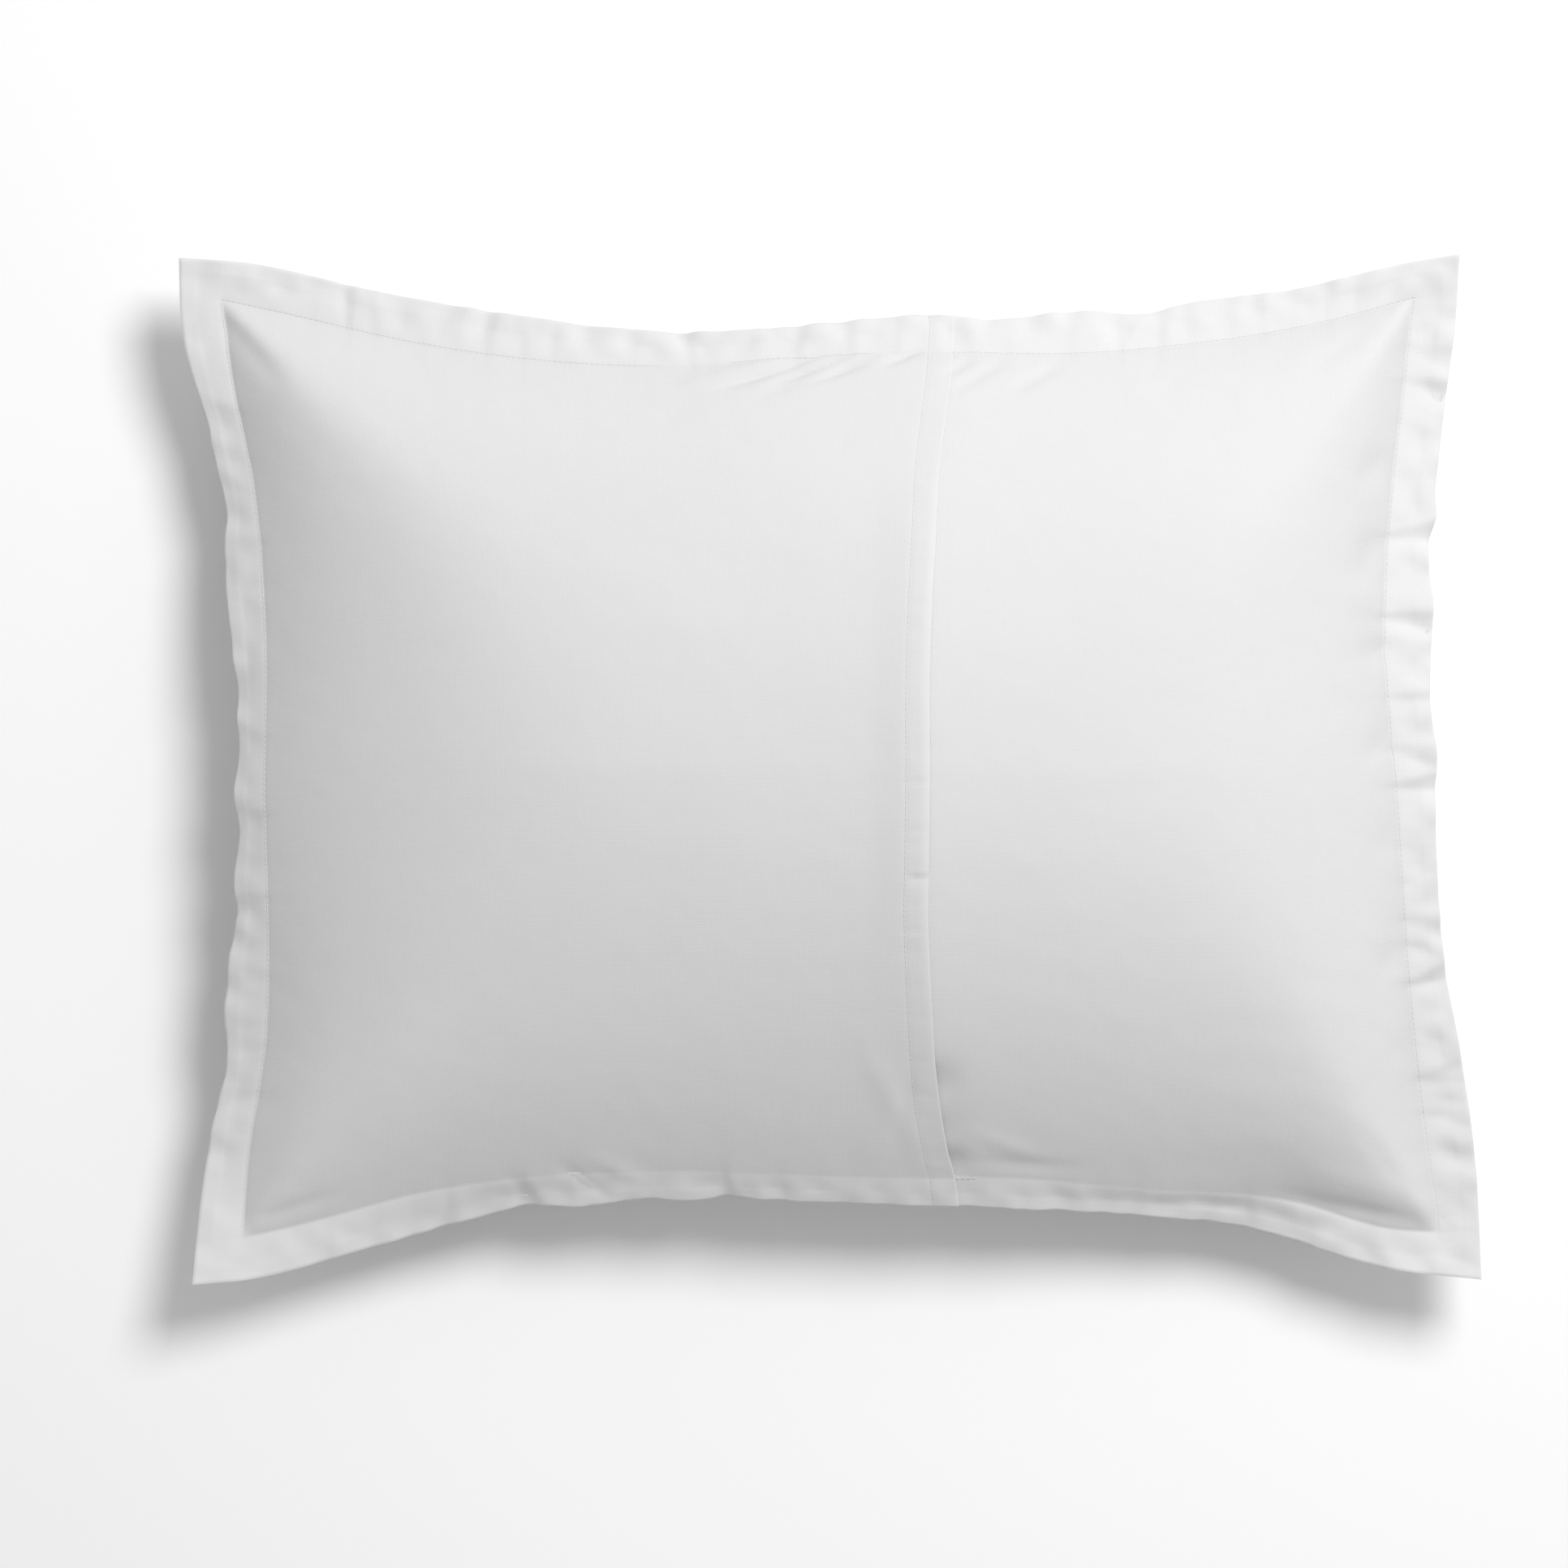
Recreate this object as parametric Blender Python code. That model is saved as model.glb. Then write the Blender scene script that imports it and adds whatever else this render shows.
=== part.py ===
"""Bed pillow: a filled insert inside a flanged cotton sham with an envelope back.

The pillow lies on its front, so its back, where the envelope opens, faces up. +X runs along
its length, +Y along its width and +Z up. The origin is on the floor below the middle.

Every sheet is laid out on one grid of cloth coordinates (a, b). From -1 to 1 they cross the
filled body between the seams, and from 1 to 2 they cross the flange. All sizes are in metres.
"""

from math import cos, pi, radians, sin

import bmesh
import bpy

# Sham, as it lies when filled
SEAM_HALF_X = 0.3275  # middle to a corner of the seam that makes the flange
SEAM_HALF_Y = 0.2555
PULL_X = 0.020  # how far the filling draws the middle of each side in
PULL_Y = 0.034
FLANGE_PLAN = 0.025  # flange, seen from above
FLANGE_DROOP = 0.008  # and how far its edge hangs below the seam

# Profile
SEAM_Z = 0.069  # height of the seam at the middle of each side
CORNER_DROP = 0.022  # a corner lies this much lower
BACK_RISE = 0.095  # crown of the back above the seam
FULLNESS = 0.6  # smaller is blunter at the sides
CONTACT = 0.74  # share of the crown beyond which the front lies flat on the floor
ROUNDING = 1.6  # how the front curls up from the floor to the seam

# Layers, stacked straight up from the seam: front, allowance, narrow panel, hem, wide panel
CLOTH = 0.0008
GAP = 0.0005
LAYER = CLOTH + GAP
FRONT, INSIDE, NARROW, HEM, WIDE = (-LAYER, 0.0, LAYER, 2 * LAYER, 3 * LAYER)

# Envelope opening, measured from the middle of the pillow
FREE_EDGE_X = 0.052  # folded edge of the wide panel
FLAP_HINGE_X = -0.085  # where the lifted part of the wide panel bends
UNDERLAP_END_X = -0.048  # hidden end of the narrow panel
UNDERLAP_HINGE_X = 0.075
MOUTH_HALF_Y = 0.160  # the part of the opening that lifts
HEM_WIDTH = 0.0135
CUT = 0.0005  # half the slit between a moving piece and its neighbour

# Insert, as shares of the sham's half sizes
TICKING_REACH = 0.93
PIPING_REACH = 0.945
FILL_REACH = 0.90
TICKING_CLOTH = 0.0006
TICKING_CLEAR = 0.0010  # between the sham and the ticking
FILL_CLEAR = 0.0010  # and between the ticking and the filling
PIPING_RADIUS = 0.0020
CORNER_TURN = 0.02  # radius of the piping's corners, as a share of the half sizes
CORNER_STEPS = 3
CLOSING_HALF_Y = 0.080  # half the length of the row that closes the insert

# Threads
THREAD_RADIUS = 0.00035
THREAD_CLEAR = 0.0003
STITCH_OUT = 0.0012  # the row of stitches lies this far out on the flange

# Cells of the grid between its named lines
SIDE_CELLS = 5
MIDDLE_CELLS = 2
END_CELLS = 2
MOUTH_CELLS = 8
ALLOWANCE_FROM = 1.5  # the raw edges fill the outer half of the flange


def clamp(value):
    return max(-1.0, min(1.0, value))


def share_x(x):
    """Cloth coordinate a of a place x across the middle of the pillow."""
    return x / (SEAM_HALF_X - PULL_X)


def share_y(y):
    """Cloth coordinate b of a place y across the middle of the pillow."""
    return y / (SEAM_HALF_Y - PULL_Y)


def between(start, end, cells):
    """The lines that part start to end into equal cells, without either end."""
    return [start + (end - start) * k / cells for k in range(1, cells)]


def grid_lines():
    cut = share_x(CUT)
    flap, underlap = share_x(FLAP_HINGE_X), share_x(UNDERLAP_HINGE_X)
    hem_ends = [share_x(UNDERLAP_END_X + HEM_WIDTH), share_x(FREE_EDGE_X - HEM_WIDTH)]
    across = [-2.0, -ALLOWANCE_FROM, -1.0, -TICKING_REACH]
    across += between(-TICKING_REACH, flap - cut, SIDE_CELLS)
    across += [flap - cut, flap + cut, share_x(UNDERLAP_END_X), hem_ends[0]]
    across += between(hem_ends[0], hem_ends[1], MIDDLE_CELLS)
    across += [hem_ends[1], share_x(FREE_EDGE_X), underlap - cut, underlap + cut]
    across += between(underlap + cut, TICKING_REACH, SIDE_CELLS)
    across += [TICKING_REACH, 1.0, ALLOWANCE_FROM, 2.0]

    mouth, slit = share_y(MOUTH_HALF_Y), share_y(CUT)
    end = [mouth - slit, mouth + slit]
    end += between(mouth + slit, TICKING_REACH, END_CELLS)
    end += [TICKING_REACH, 1.0, ALLOWANCE_FROM, 2.0]
    along = [-b for b in reversed(end)]
    along += between(slit - mouth, mouth - slit, MOUTH_CELLS)
    along += end
    return across, along


LINES_A, LINES_B = grid_lines()


def plan(a, b):
    """Where the cloth coordinates lie, seen from above."""
    u, v = clamp(a), clamp(b)
    x = u * (SEAM_HALF_X - PULL_X * (1 - v * v)) + FLANGE_PLAN * (a - u)
    y = v * (SEAM_HALF_Y - PULL_Y * (1 - u * u)) + FLANGE_PLAN * (b - v)
    return x, y


def seam_height(a, b):
    """Height of the surface that the seam lies in, drooping out along the flange."""
    u, v = clamp(a), clamp(b)
    out = max(abs(a - u), abs(b - v))
    return SEAM_Z - CORNER_DROP * (u * v) ** 2 - FLANGE_DROOP * out


def bulge(a, b, reach=1.0):
    """How full the pillow is: 0 at the edge of a skin that ends at reach, and 1 in the middle."""
    across = max(0.0, 1 - (a / reach) ** 2)
    along = max(0.0, 1 - (b / reach) ** 2)
    return (across * along) ** FULLNESS


def back_surface(offset, reach=1.0):
    """Height of a surface on the back, offset straight up from the seam."""

    def height(a, b):
        return seam_height(a, b) + BACK_RISE * bulge(a, b, reach) + offset

    return height


def front_surface(offset, rest, reach=1.0):
    """Height of a surface on the front, which lies flat at height rest in the middle."""

    def height(a, b):
        edge = seam_height(a, b) + offset
        lift = 1 - min(1.0, bulge(a, b, reach) / CONTACT)
        return rest + (edge - rest) * lift**ROUNDING

    return height


def cells(a_from, a_to, b_from, b_to):
    """The grid cells whose middles lie in this range of cloth coordinates."""
    return {
        (i, j)
        for i in range(len(LINES_A) - 1)
        for j in range(len(LINES_B) - 1)
        if a_from < (LINES_A[i] + LINES_A[i + 1]) / 2 < a_to
        and b_from < (LINES_B[j] + LINES_B[j + 1]) / 2 < b_to
    }


def principled(name, color, roughness, sheen):
    material = bpy.data.materials.new(name)
    material.use_nodes = True
    shader = material.node_tree.nodes["Principled BSDF"]
    shader.inputs["Base Color"].default_value = (*color, 1.0)
    shader.inputs["Roughness"].default_value = roughness
    shader.inputs["Metallic"].default_value = 0.0
    shader.inputs["Sheen Weight"].default_value = sheen
    material.diffuse_color = (*color, 1.0)
    return material


def add_mesh(name, bm, material):
    bmesh.ops.recalc_face_normals(bm, faces=bm.faces[:])
    mesh = bpy.data.meshes.new(name)
    bm.to_mesh(mesh)
    bm.free()
    mesh.materials.append(material)
    mesh.shade_smooth()
    mesh.set_sharp_from_angle(angle=radians(40))
    node = bpy.data.objects.new(name, mesh)
    bpy.context.scene.collection.objects.link(node)
    return node


def placed(surface, scale=1.0):
    """A function from cloth coordinates to a point of the surface, drawn in by scale."""

    def place(a, b):
        return (*plan(a * scale, b * scale), surface(a * scale, b * scale))

    return place


def grid_faces(bm, chosen, place, shared=None):
    """Two triangles in each chosen cell, parted along the line that points to the nearest corner."""
    corner = dict(shared or {})

    def vertex(i, j):
        if (i, j) not in corner:
            corner[i, j] = bm.verts.new(place(LINES_A[i], LINES_B[j]))
        return corner[i, j]

    for i, j in sorted(chosen):
        loop = [vertex(i, j), vertex(i + 1, j), vertex(i + 1, j + 1), vertex(i, j + 1)]
        if (LINES_A[i] + LINES_A[i + 1]) * (LINES_B[j] + LINES_B[j + 1]) < 0:
            loop = loop[1:] + loop[:1]
        bm.faces.new((loop[0], loop[1], loop[2]))
        bm.faces.new((loop[0], loop[2], loop[3]))
    return corner


def sheet(name, chosen, surface, thickness, material):
    """A cloth whose middle lies on the surface, over the chosen cells."""
    bm = bmesh.new()
    grid_faces(bm, chosen, placed(surface))
    doubled = bmesh.ops.extrude_face_region(bm, geom=bm.faces[:])["geom"]
    raised = [item for item in doubled if isinstance(item, bmesh.types.BMVert)]
    bmesh.ops.translate(bm, verts=bm.verts[:], vec=(0, 0, -thickness / 2))
    bmesh.ops.translate(bm, verts=raised, vec=(0, 0, thickness))
    return add_mesh(name, bm, material)


def lens(name, chosen, low, high, material):
    """A closed body between two surfaces that meet all round the chosen cells."""
    bm = bmesh.new()
    upper = grid_faces(bm, chosen, high)
    rim = {line: vertex for line, vertex in upper.items() if vertex.is_boundary}
    grid_faces(bm, chosen, low, shared=rim)
    return add_mesh(name, bm, material)


def tube(name, points, radius, closed, material):
    curve = bpy.data.curves.new(name, "CURVE")
    curve.dimensions = "3D"
    curve.bevel_depth = radius
    curve.bevel_resolution = 1
    curve.use_fill_caps = True
    spline = curve.splines.new("POLY")
    spline.points.add(len(points) - 1)
    for point, place in zip(spline.points, points):
        point.co = (*place, 1.0)
    spline.use_cyclic_u = closed
    curve.materials.append(material)
    node = bpy.data.objects.new(name, curve)
    bpy.context.scene.collection.objects.link(node)
    return node


def seam_ring(height):
    """Points along the row of stitches round the flange, anticlockwise from the low corner."""
    row = 1 + STITCH_OUT / FLANGE_PLAN
    inner_a = [a for a in LINES_A if abs(a) <= 1]
    inner_b = [b for b in LINES_B if abs(b) <= 1]
    ring = [(-row, -row)] + [(a, -row) for a in inner_a]
    ring += [(row, -row)] + [(row, b) for b in inner_b]
    ring += [(row, row)] + [(a, row) for a in reversed(inner_a)]
    ring += [(-row, row)] + [(-row, b) for b in reversed(inner_b)]
    return [(*plan(a, b), height(a, b)) for a, b in ring]


def piping_ring(height):
    """Points round the edge of the insert, with turned corners."""
    straight = PIPING_REACH - CORNER_TURN
    inner_a = [a for a in LINES_A if abs(a) < straight]
    inner_b = [b for b in LINES_B if abs(b) < straight]
    sides = [
        [(a, -PIPING_REACH) for a in inner_a],
        [(PIPING_REACH, b) for b in inner_b],
        [(a, PIPING_REACH) for a in reversed(inner_a)],
        [(-PIPING_REACH, b) for b in reversed(inner_b)],
    ]
    ring = []
    for quarter, (side, middle) in enumerate(zip(sides, ((1, -1), (1, 1), (-1, 1), (-1, -1)))):
        ring += side
        for step in range(CORNER_STEPS + 1):
            turn = pi / 2 * (quarter - 1 + step / CORNER_STEPS)
            a = middle[0] * straight + CORNER_TURN * cos(turn)
            b = middle[1] * straight + CORNER_TURN * sin(turn)
            ring.append((a, b))
    return [(*plan(a, b), height(a, b)) for a, b in ring]


def line_along(a, surface, lines_b):
    """Points on the surface along one grid line that runs with the opening."""
    return [(*plan(a, b), surface(a, b)) for b in lines_b]


def mouth_range():
    return -share_y(MOUTH_HALF_Y - CUT), share_y(MOUTH_HALF_Y - CUT)


def moving_cells(a_from, a_to):
    """The cells of a piece that lifts, between the slits at the ends of the mouth."""
    low, high = mouth_range()
    return cells(a_from, a_to, low, high)


def parted_cells(a_from, a_to):
    """The cells that a fixed panel leaves open for a lifting piece and the slits round it."""
    reach = share_y(MOUTH_HALF_Y + CUT)
    return cells(a_from, a_to, -reach, reach)


def make_front(material):
    everywhere = cells(-2, 2, -2, 2)
    surface = front_surface(FRONT, CLOTH / 2)
    sheet("front_panel", everywhere, surface, CLOTH, material)


def make_wide_panel(cloth, thread):
    """The wide back panel, its lifting flap, the flap's hem and the stitches of the hem."""
    edge, hinge, cut = share_x(FREE_EDGE_X), share_x(FLAP_HINGE_X), share_x(CUT)
    hem_line = share_x(FREE_EDGE_X - HEM_WIDTH)
    surface = back_surface(WIDE)
    fixed = cells(-2, edge, -2, 2) - parted_cells(hinge - cut, edge)
    sheet("wide_back_panel", fixed, surface, CLOTH, cloth)
    sheet("back_flap", moving_cells(hinge + cut, edge), surface, CLOTH, cloth)
    sheet("back_flap_hem", moving_cells(hem_line, edge), back_surface(HEM), CLOTH, cloth)
    make_hem_stitch("back_flap_hem_stitch", hem_line, WIDE, thread)


def make_narrow_panel(cloth, thread):
    """The narrow back panel, the underlap behind the flap, its hem and the hem's stitches."""
    end, hinge, cut = share_x(UNDERLAP_END_X), share_x(UNDERLAP_HINGE_X), share_x(CUT)
    hem_line = share_x(UNDERLAP_END_X + HEM_WIDTH)
    surface = back_surface(NARROW)
    fixed = cells(end, 2, -2, 2) - parted_cells(end, hinge + cut)
    sheet("narrow_back_panel", fixed, surface, CLOTH, cloth)
    sheet("underlap", moving_cells(end, hinge - cut), surface, CLOTH, cloth)
    sheet("underlap_hem", moving_cells(end, hem_line), back_surface(INSIDE), CLOTH, cloth)
    make_hem_stitch("underlap_hem_stitch", hem_line, NARROW, thread)


def make_hem_stitch(name, a, layer, thread):
    """The stitches of a hem, from just inside one slit of the mouth to just inside the other."""
    low, high = mouth_range()
    lines = [b for b in LINES_B if low + share_y(HEM_WIDTH) < b < high - share_y(HEM_WIDTH)]
    on_top = back_surface(layer + CLOTH / 2 + THREAD_CLEAR + THREAD_RADIUS)
    tube(name, line_along(a, on_top, lines), THREAD_RADIUS, False, thread)


def make_seam_allowance(material):
    """The trimmed raw edges, turned in between the two sides of the flange."""
    start = ALLOWANCE_FROM
    ring = cells(-2, 2, -2, 2) - cells(-start, start, -start, start)
    sheet("seam_allowance", ring, seam_height, CLOTH, material)


def make_flange_stitches(thread):
    """The seam through the flange: needle thread on the back, bobbin thread on the face."""
    proud = CLOTH / 2 + THREAD_CLEAR + THREAD_RADIUS
    free_edge = share_x(FREE_EDGE_X)

    def needle(a, b):
        layer = WIDE if a <= free_edge + share_x(CUT) else NARROW
        return seam_height(a, b) + layer + proud

    def bobbin(a, b):
        return seam_height(a, b) + FRONT - proud

    tube("flange_stitch_back", seam_ring(needle), THREAD_RADIUS, True, thread)
    tube("flange_stitch_face", seam_ring(bobbin), THREAD_RADIUS, True, thread)


def make_insert(ticking, piping, thread, fibre):
    """The filled insert: two ticking sheets, the piping between them, and the filling."""
    reach = TICKING_REACH
    inside = cells(-reach, reach, -reach, reach)
    back = INSIDE - CLOTH / 2 - TICKING_CLEAR - TICKING_CLOTH / 2
    front = back - TICKING_CLOTH - GAP
    floor = CLOTH + GAP + TICKING_CLOTH / 2
    upper = back_surface(back, reach)
    sheet("ticking_back", inside, upper, TICKING_CLOTH, ticking)
    sheet("ticking_face", inside, front_surface(front, floor, reach), TICKING_CLOTH, ticking)

    edge = (back + front) / 2
    ring = piping_ring(back_surface(edge, PIPING_REACH))
    tube("ticking_piping", ring, PIPING_RADIUS, True, piping)

    on_top = back_surface(back + TICKING_CLOTH / 2 + THREAD_CLEAR + THREAD_RADIUS, reach)
    lines = [b for b in LINES_B if abs(b) < share_y(CLOSING_HALF_Y)]
    tube("ticking_closing_stitch", line_along(reach, on_top, lines), THREAD_RADIUS, False, thread)

    scale = FILL_REACH / reach
    bottom = front_surface(edge, floor + TICKING_CLOTH / 2 + FILL_CLEAR, FILL_REACH)

    def top(a, b):
        return seam_height(a, b) + edge + (BACK_RISE - FILL_CLEAR) * bulge(a, b, FILL_REACH)

    lens("fill", inside, placed(bottom, scale), placed(top, scale), fibre)


def main():
    for node in list(bpy.data.objects):
        bpy.data.objects.remove(node)
    white = (0.80, 0.80, 0.80)
    sham = principled("sham_cotton", white, 0.80, 0.25)
    thread = principled("sewing_thread", (0.84, 0.84, 0.83), 0.60, 0.10)
    ticking = principled("ticking_cotton", (0.76, 0.75, 0.72), 0.85, 0.20)
    piping = principled("piping_cotton", (0.78, 0.77, 0.74), 0.80, 0.20)
    fibre = principled("polyester_fibre", (0.86, 0.86, 0.86), 0.95, 0.40)
    make_front(sham)
    make_wide_panel(sham, thread)
    make_narrow_panel(sham, thread)
    make_seam_allowance(sham)
    make_flange_stitches(thread)
    make_insert(ticking, piping, thread, fibre)


main()
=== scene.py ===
from math import cos, pi, sin

import bpy
import numpy as np
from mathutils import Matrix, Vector


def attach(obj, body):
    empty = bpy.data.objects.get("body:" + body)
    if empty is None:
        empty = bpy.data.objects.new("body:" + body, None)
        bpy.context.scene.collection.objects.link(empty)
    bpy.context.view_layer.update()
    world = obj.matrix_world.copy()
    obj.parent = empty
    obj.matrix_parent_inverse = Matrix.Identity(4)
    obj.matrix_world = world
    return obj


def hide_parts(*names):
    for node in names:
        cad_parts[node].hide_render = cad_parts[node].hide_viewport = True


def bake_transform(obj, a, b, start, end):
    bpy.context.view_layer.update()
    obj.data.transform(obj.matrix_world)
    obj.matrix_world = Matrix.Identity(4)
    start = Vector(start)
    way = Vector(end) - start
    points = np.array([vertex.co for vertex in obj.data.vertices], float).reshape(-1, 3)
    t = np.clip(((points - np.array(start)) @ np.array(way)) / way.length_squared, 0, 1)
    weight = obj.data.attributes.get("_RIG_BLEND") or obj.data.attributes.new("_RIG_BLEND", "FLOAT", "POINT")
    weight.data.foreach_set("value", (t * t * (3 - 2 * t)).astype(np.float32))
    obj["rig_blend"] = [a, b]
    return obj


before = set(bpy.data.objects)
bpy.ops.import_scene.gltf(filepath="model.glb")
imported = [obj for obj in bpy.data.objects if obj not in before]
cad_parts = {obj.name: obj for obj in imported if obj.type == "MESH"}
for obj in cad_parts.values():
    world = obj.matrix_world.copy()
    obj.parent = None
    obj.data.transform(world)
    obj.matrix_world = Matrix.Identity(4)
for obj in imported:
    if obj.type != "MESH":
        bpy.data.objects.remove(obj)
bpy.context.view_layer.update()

# A bed pillow on its front: a filled insert in a white cotton sham with a flange and an envelope back.
# p and q are places on the flat cloth, in metres from its middle; x, y and z are places on the filled pillow.

sham = {
    "halfLength": 0.330,  # flat, from the middle to the seam
    "halfWidth": 0.254,
    "flange": 0.0255,
    "cloth": 0.00035,
    "hem": 0.0135,
    "underlapEnd": -0.048,  # p where the narrow panel ends, under the flap
    "floorGap": 0.0009,  # from the floor to the face's own surface
}

filled = {
    "seamHeight": 0.074,
    "cornerDrop": 0.022,  # how much lower the seam is at the corners
    "rise": 0.084,  # of the crown above the seam, on either side
    "reach": {"left": 0.240, "right": 0.175, "top": 0.225, "bottom": 0.285},  # from the seam to the crown
    "steepness": 2.15,
    "slack": 0.15,  # the filling is thinner towards the lower left corner
    "slackFrom": (0.45, 0.35),  # shares of the half length and half width where it begins to thin,
    "slackOver": (1.3, 1.2),  # and over which it does
    "blend": 0.8,  # how far from the middle one side's reach turns into the other's
    "ridge": 4.0,  # how sharp the ridge is that runs in from each corner
    "droop": {"left": 0.0125, "right": 0.002, "top": 0.009, "bottom": 0.012},
    "cornerDroop": -0.25,  # share of the droop at the corners, which turn up a little
    "mouthSlope": 0.13,  # the panels fall away from the free edge on both sides
    "mouthReach": 0.085,
    "frontFullness": 1.14,  # the face hangs deeper than the back rises
    "floorSoftness": 0.0035,  # how softly the face bends up from the floor
}

# Where the filled sham's seam and rim lie, as (along, across) in millimetres, corner to corner
seamLines = {
    "top": [(-331, 254.7), (-295, 246.7), (-222, 230.4), (-142, 219.9), (-90, 217.9), (0, 223.5),
            (62, 225.4), (131, 224.9), (194, 230.4), (243, 237.5), (285, 246.7), (317, 256)],
    "bottom": [(-320, -255.3), (-295, -249.8), (-222, -230.9), (-140, -220.3), (-98, -218.7), (22, -221.2),
               (104, -222.7), (166, -228.2), (250, -235.7), (306, -250.7), (332.4, -252.5)],
    "left": [(-255.3, -320), (-213, -316.6), (-147, -306.5), (-67, -305), (-16, -306.4), (69, -306),
             (155, -313.5), (211, -324.9), (254.7, -331)],
    "right": [(-252.5, 332.4), (-207, 324.5), (-120, 314.1), (-24, 306.9), (79, 299.8), (137, 303.3),
              (216, 312.6), (256, 317)],
}
rimLines = {
    "top": [(-354.5, 278), (-325, 276.4), (-243, 259.7), (-180, 248.7), (-72, 237.9), (-19, 240.7),
            (40, 246.6), (58, 247.2), (84, 245), (122, 248.5), (135, 249.8), (177, 249.8), (188, 252.9),
            (254, 262.2), (318, 276.1), (342.6, 280.2)],
    "bottom": [(-347.4, -280.9), (-322, -279), (-250, -262), (-180, -244.4), (-160, -240.1), (-140, -240.6),
               (-101, -234.8), (-68, -235.3), (-54, -232.4), (-44, -233.8), (22, -237), (135, -242.3),
               (225, -252.4), (308, -273.1), (354.7, -278)],
    "left": [(-280.9, -347.4), (-226, -342.1), (-182, -334.7), (-166, -330.2), (-136, -330.7),
             (-103, -328), (-78, -324.1), (-61, -325), (-36, -322.3), (-17, -324.5), (8, -322.3),
             (54, -324.5), (85, -328.5), (115, -331.1), (135, -329.4), (166, -335.5), (195, -342.1),
             (223, -350.5), (243, -353.6), (278, -354.5)],
    "right": [(-278, 354.7), (-220, 352), (-155, 342.8), (-110, 334.5), (-61, 329.6), (-14, 328.3),
              (3, 329.1), (36, 325.3), (63, 326.3), (89, 327.4), (108, 325.6), (125, 326), (134, 329.1),
              (150, 329.1), (169, 331.2), (208, 336.1), (246, 340.9), (280.2, 342.6)],
}
# The free edge of the wide panel, as (across, along)
freeEdge = [(-236, 69.6), (-221, 67.4), (-207, 63.6), (-171, 57.3), (-118, 52.9), (-78, 51.2),
            (-40, 51.8), (0, 52.3), (41, 52.4), (80, 53.8), (121, 56.2), (160, 58.6), (189, 62.4),
            (210, 65.5), (236, 67.6)]
mouthEnd = 0.2359  # where the free edge runs into the flange

clothSim = {
    "cell": 0.0070,
    "flangeCells": 4,
    "frames": 12,
    "seamHold": 0.55,
    "rimHold": 0.10,
    "easing": 10,  # rounds of smoothing of what the blowing up changes
    "cap": 0.007,  # the furthest that a point may move
    "shake": 0.00005,
    "seed": 11,
    "fabric": {
        "quality": 7, "mass": 0.15, "air_damping": 3,
        "tension_stiffness": 45, "compression_stiffness": 45, "shear_stiffness": 15,
        "bending_stiffness": 0.35, "bending_damping": 0.5,
        "tension_damping": 6, "compression_damping": 6, "shear_damping": 6,
        "use_pressure": True, "uniform_pressure_force": 4.5, "vertex_group_pressure": "puffed",
        "vertex_group_mass": "held", "pin_stiffness": 1,
    },
}


def smoothstep(value):
    t = np.clip(value, 0, 1)
    return t * t * (3 - 2 * t)


def unit(ways):
    return ways / np.linalg.norm(ways, axis=-1, keepdims=True)


def hump(value, width):
    # 1 at 0, and down to a third at one width away
    return np.exp(-((value / width) ** 2))


def cubic(t, step, start, end, slopeStart, slopeEnd):
    # a smooth curve from start to end as t goes from 0 to 1 over a step, with given slopes at both
    value = (1 + 2 * t) * (1 - t) ** 2 * start + t * (1 - t) ** 2 * step * slopeStart
    return value + t * t * (3 - 2 * t) * end + t * t * (t - 1) * step * slopeEnd


def beyondSeam(p, q):
    # how far outside the seam a place on the flat cloth is, less than 0 in the body
    return np.maximum(np.abs(p) - sham["halfLength"], np.abs(q) - sham["halfWidth"])


def smoothLine(points):
    # a cubic through points given in millimetres, as a function in metres
    along, across = np.array(sorted(points), float).T / 1000
    slope = np.gradient(across, along)

    def height(place):
        place = np.asarray(place, float)
        k = np.clip(np.searchsorted(along, place) - 1, 0, len(along) - 2)
        step = along[k + 1] - along[k]
        t = (place - along[k]) / step
        return cubic(t, step, across[k], across[k + 1], slope[k], slope[k + 1])

    return height


def outlineMap(lines):
    # fills the space inside four edge lines; s and t run from -1 to 1
    edges = {name: smoothLine(points) for name, points in lines.items()}
    corner = {
        "topLeft": np.array(lines["top"][0]) / 1000,
        "topRight": np.array(lines["top"][-1]) / 1000,
        "bottomLeft": np.array(lines["bottom"][0]) / 1000,
        "bottomRight": np.array(lines["bottom"][-1]) / 1000,
    }

    def place(s, t):
        u, v = (np.asarray(s) + 1) / 2, (np.asarray(t) + 1) / 2

        def across(name, start, end):
            x = corner[start][0] + (corner[end][0] - corner[start][0]) * u
            return np.stack([x, edges[name](x)], -1)

        def along(name, start, end):
            y = corner[start][1] + (corner[end][1] - corner[start][1]) * v
            return np.stack([edges[name](y), y], -1)

        top, bottom = across("top", "topLeft", "topRight"), across("bottom", "bottomLeft", "bottomRight")
        left, right = along("left", "bottomLeft", "topLeft"), along("right", "bottomRight", "topRight")
        u, v = u[..., None], v[..., None]
        both = (1 - v) * bottom + v * top + (1 - u) * left + u * right
        both -= (1 - u) * (1 - v) * corner["bottomLeft"] + u * (1 - v) * corner["bottomRight"]
        return both - (1 - u) * v * corner["topLeft"] - u * v * corner["topRight"]

    return place


insideSeam, insideRim = outlineMap(seamLines), outlineMap(rimLines)


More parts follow.
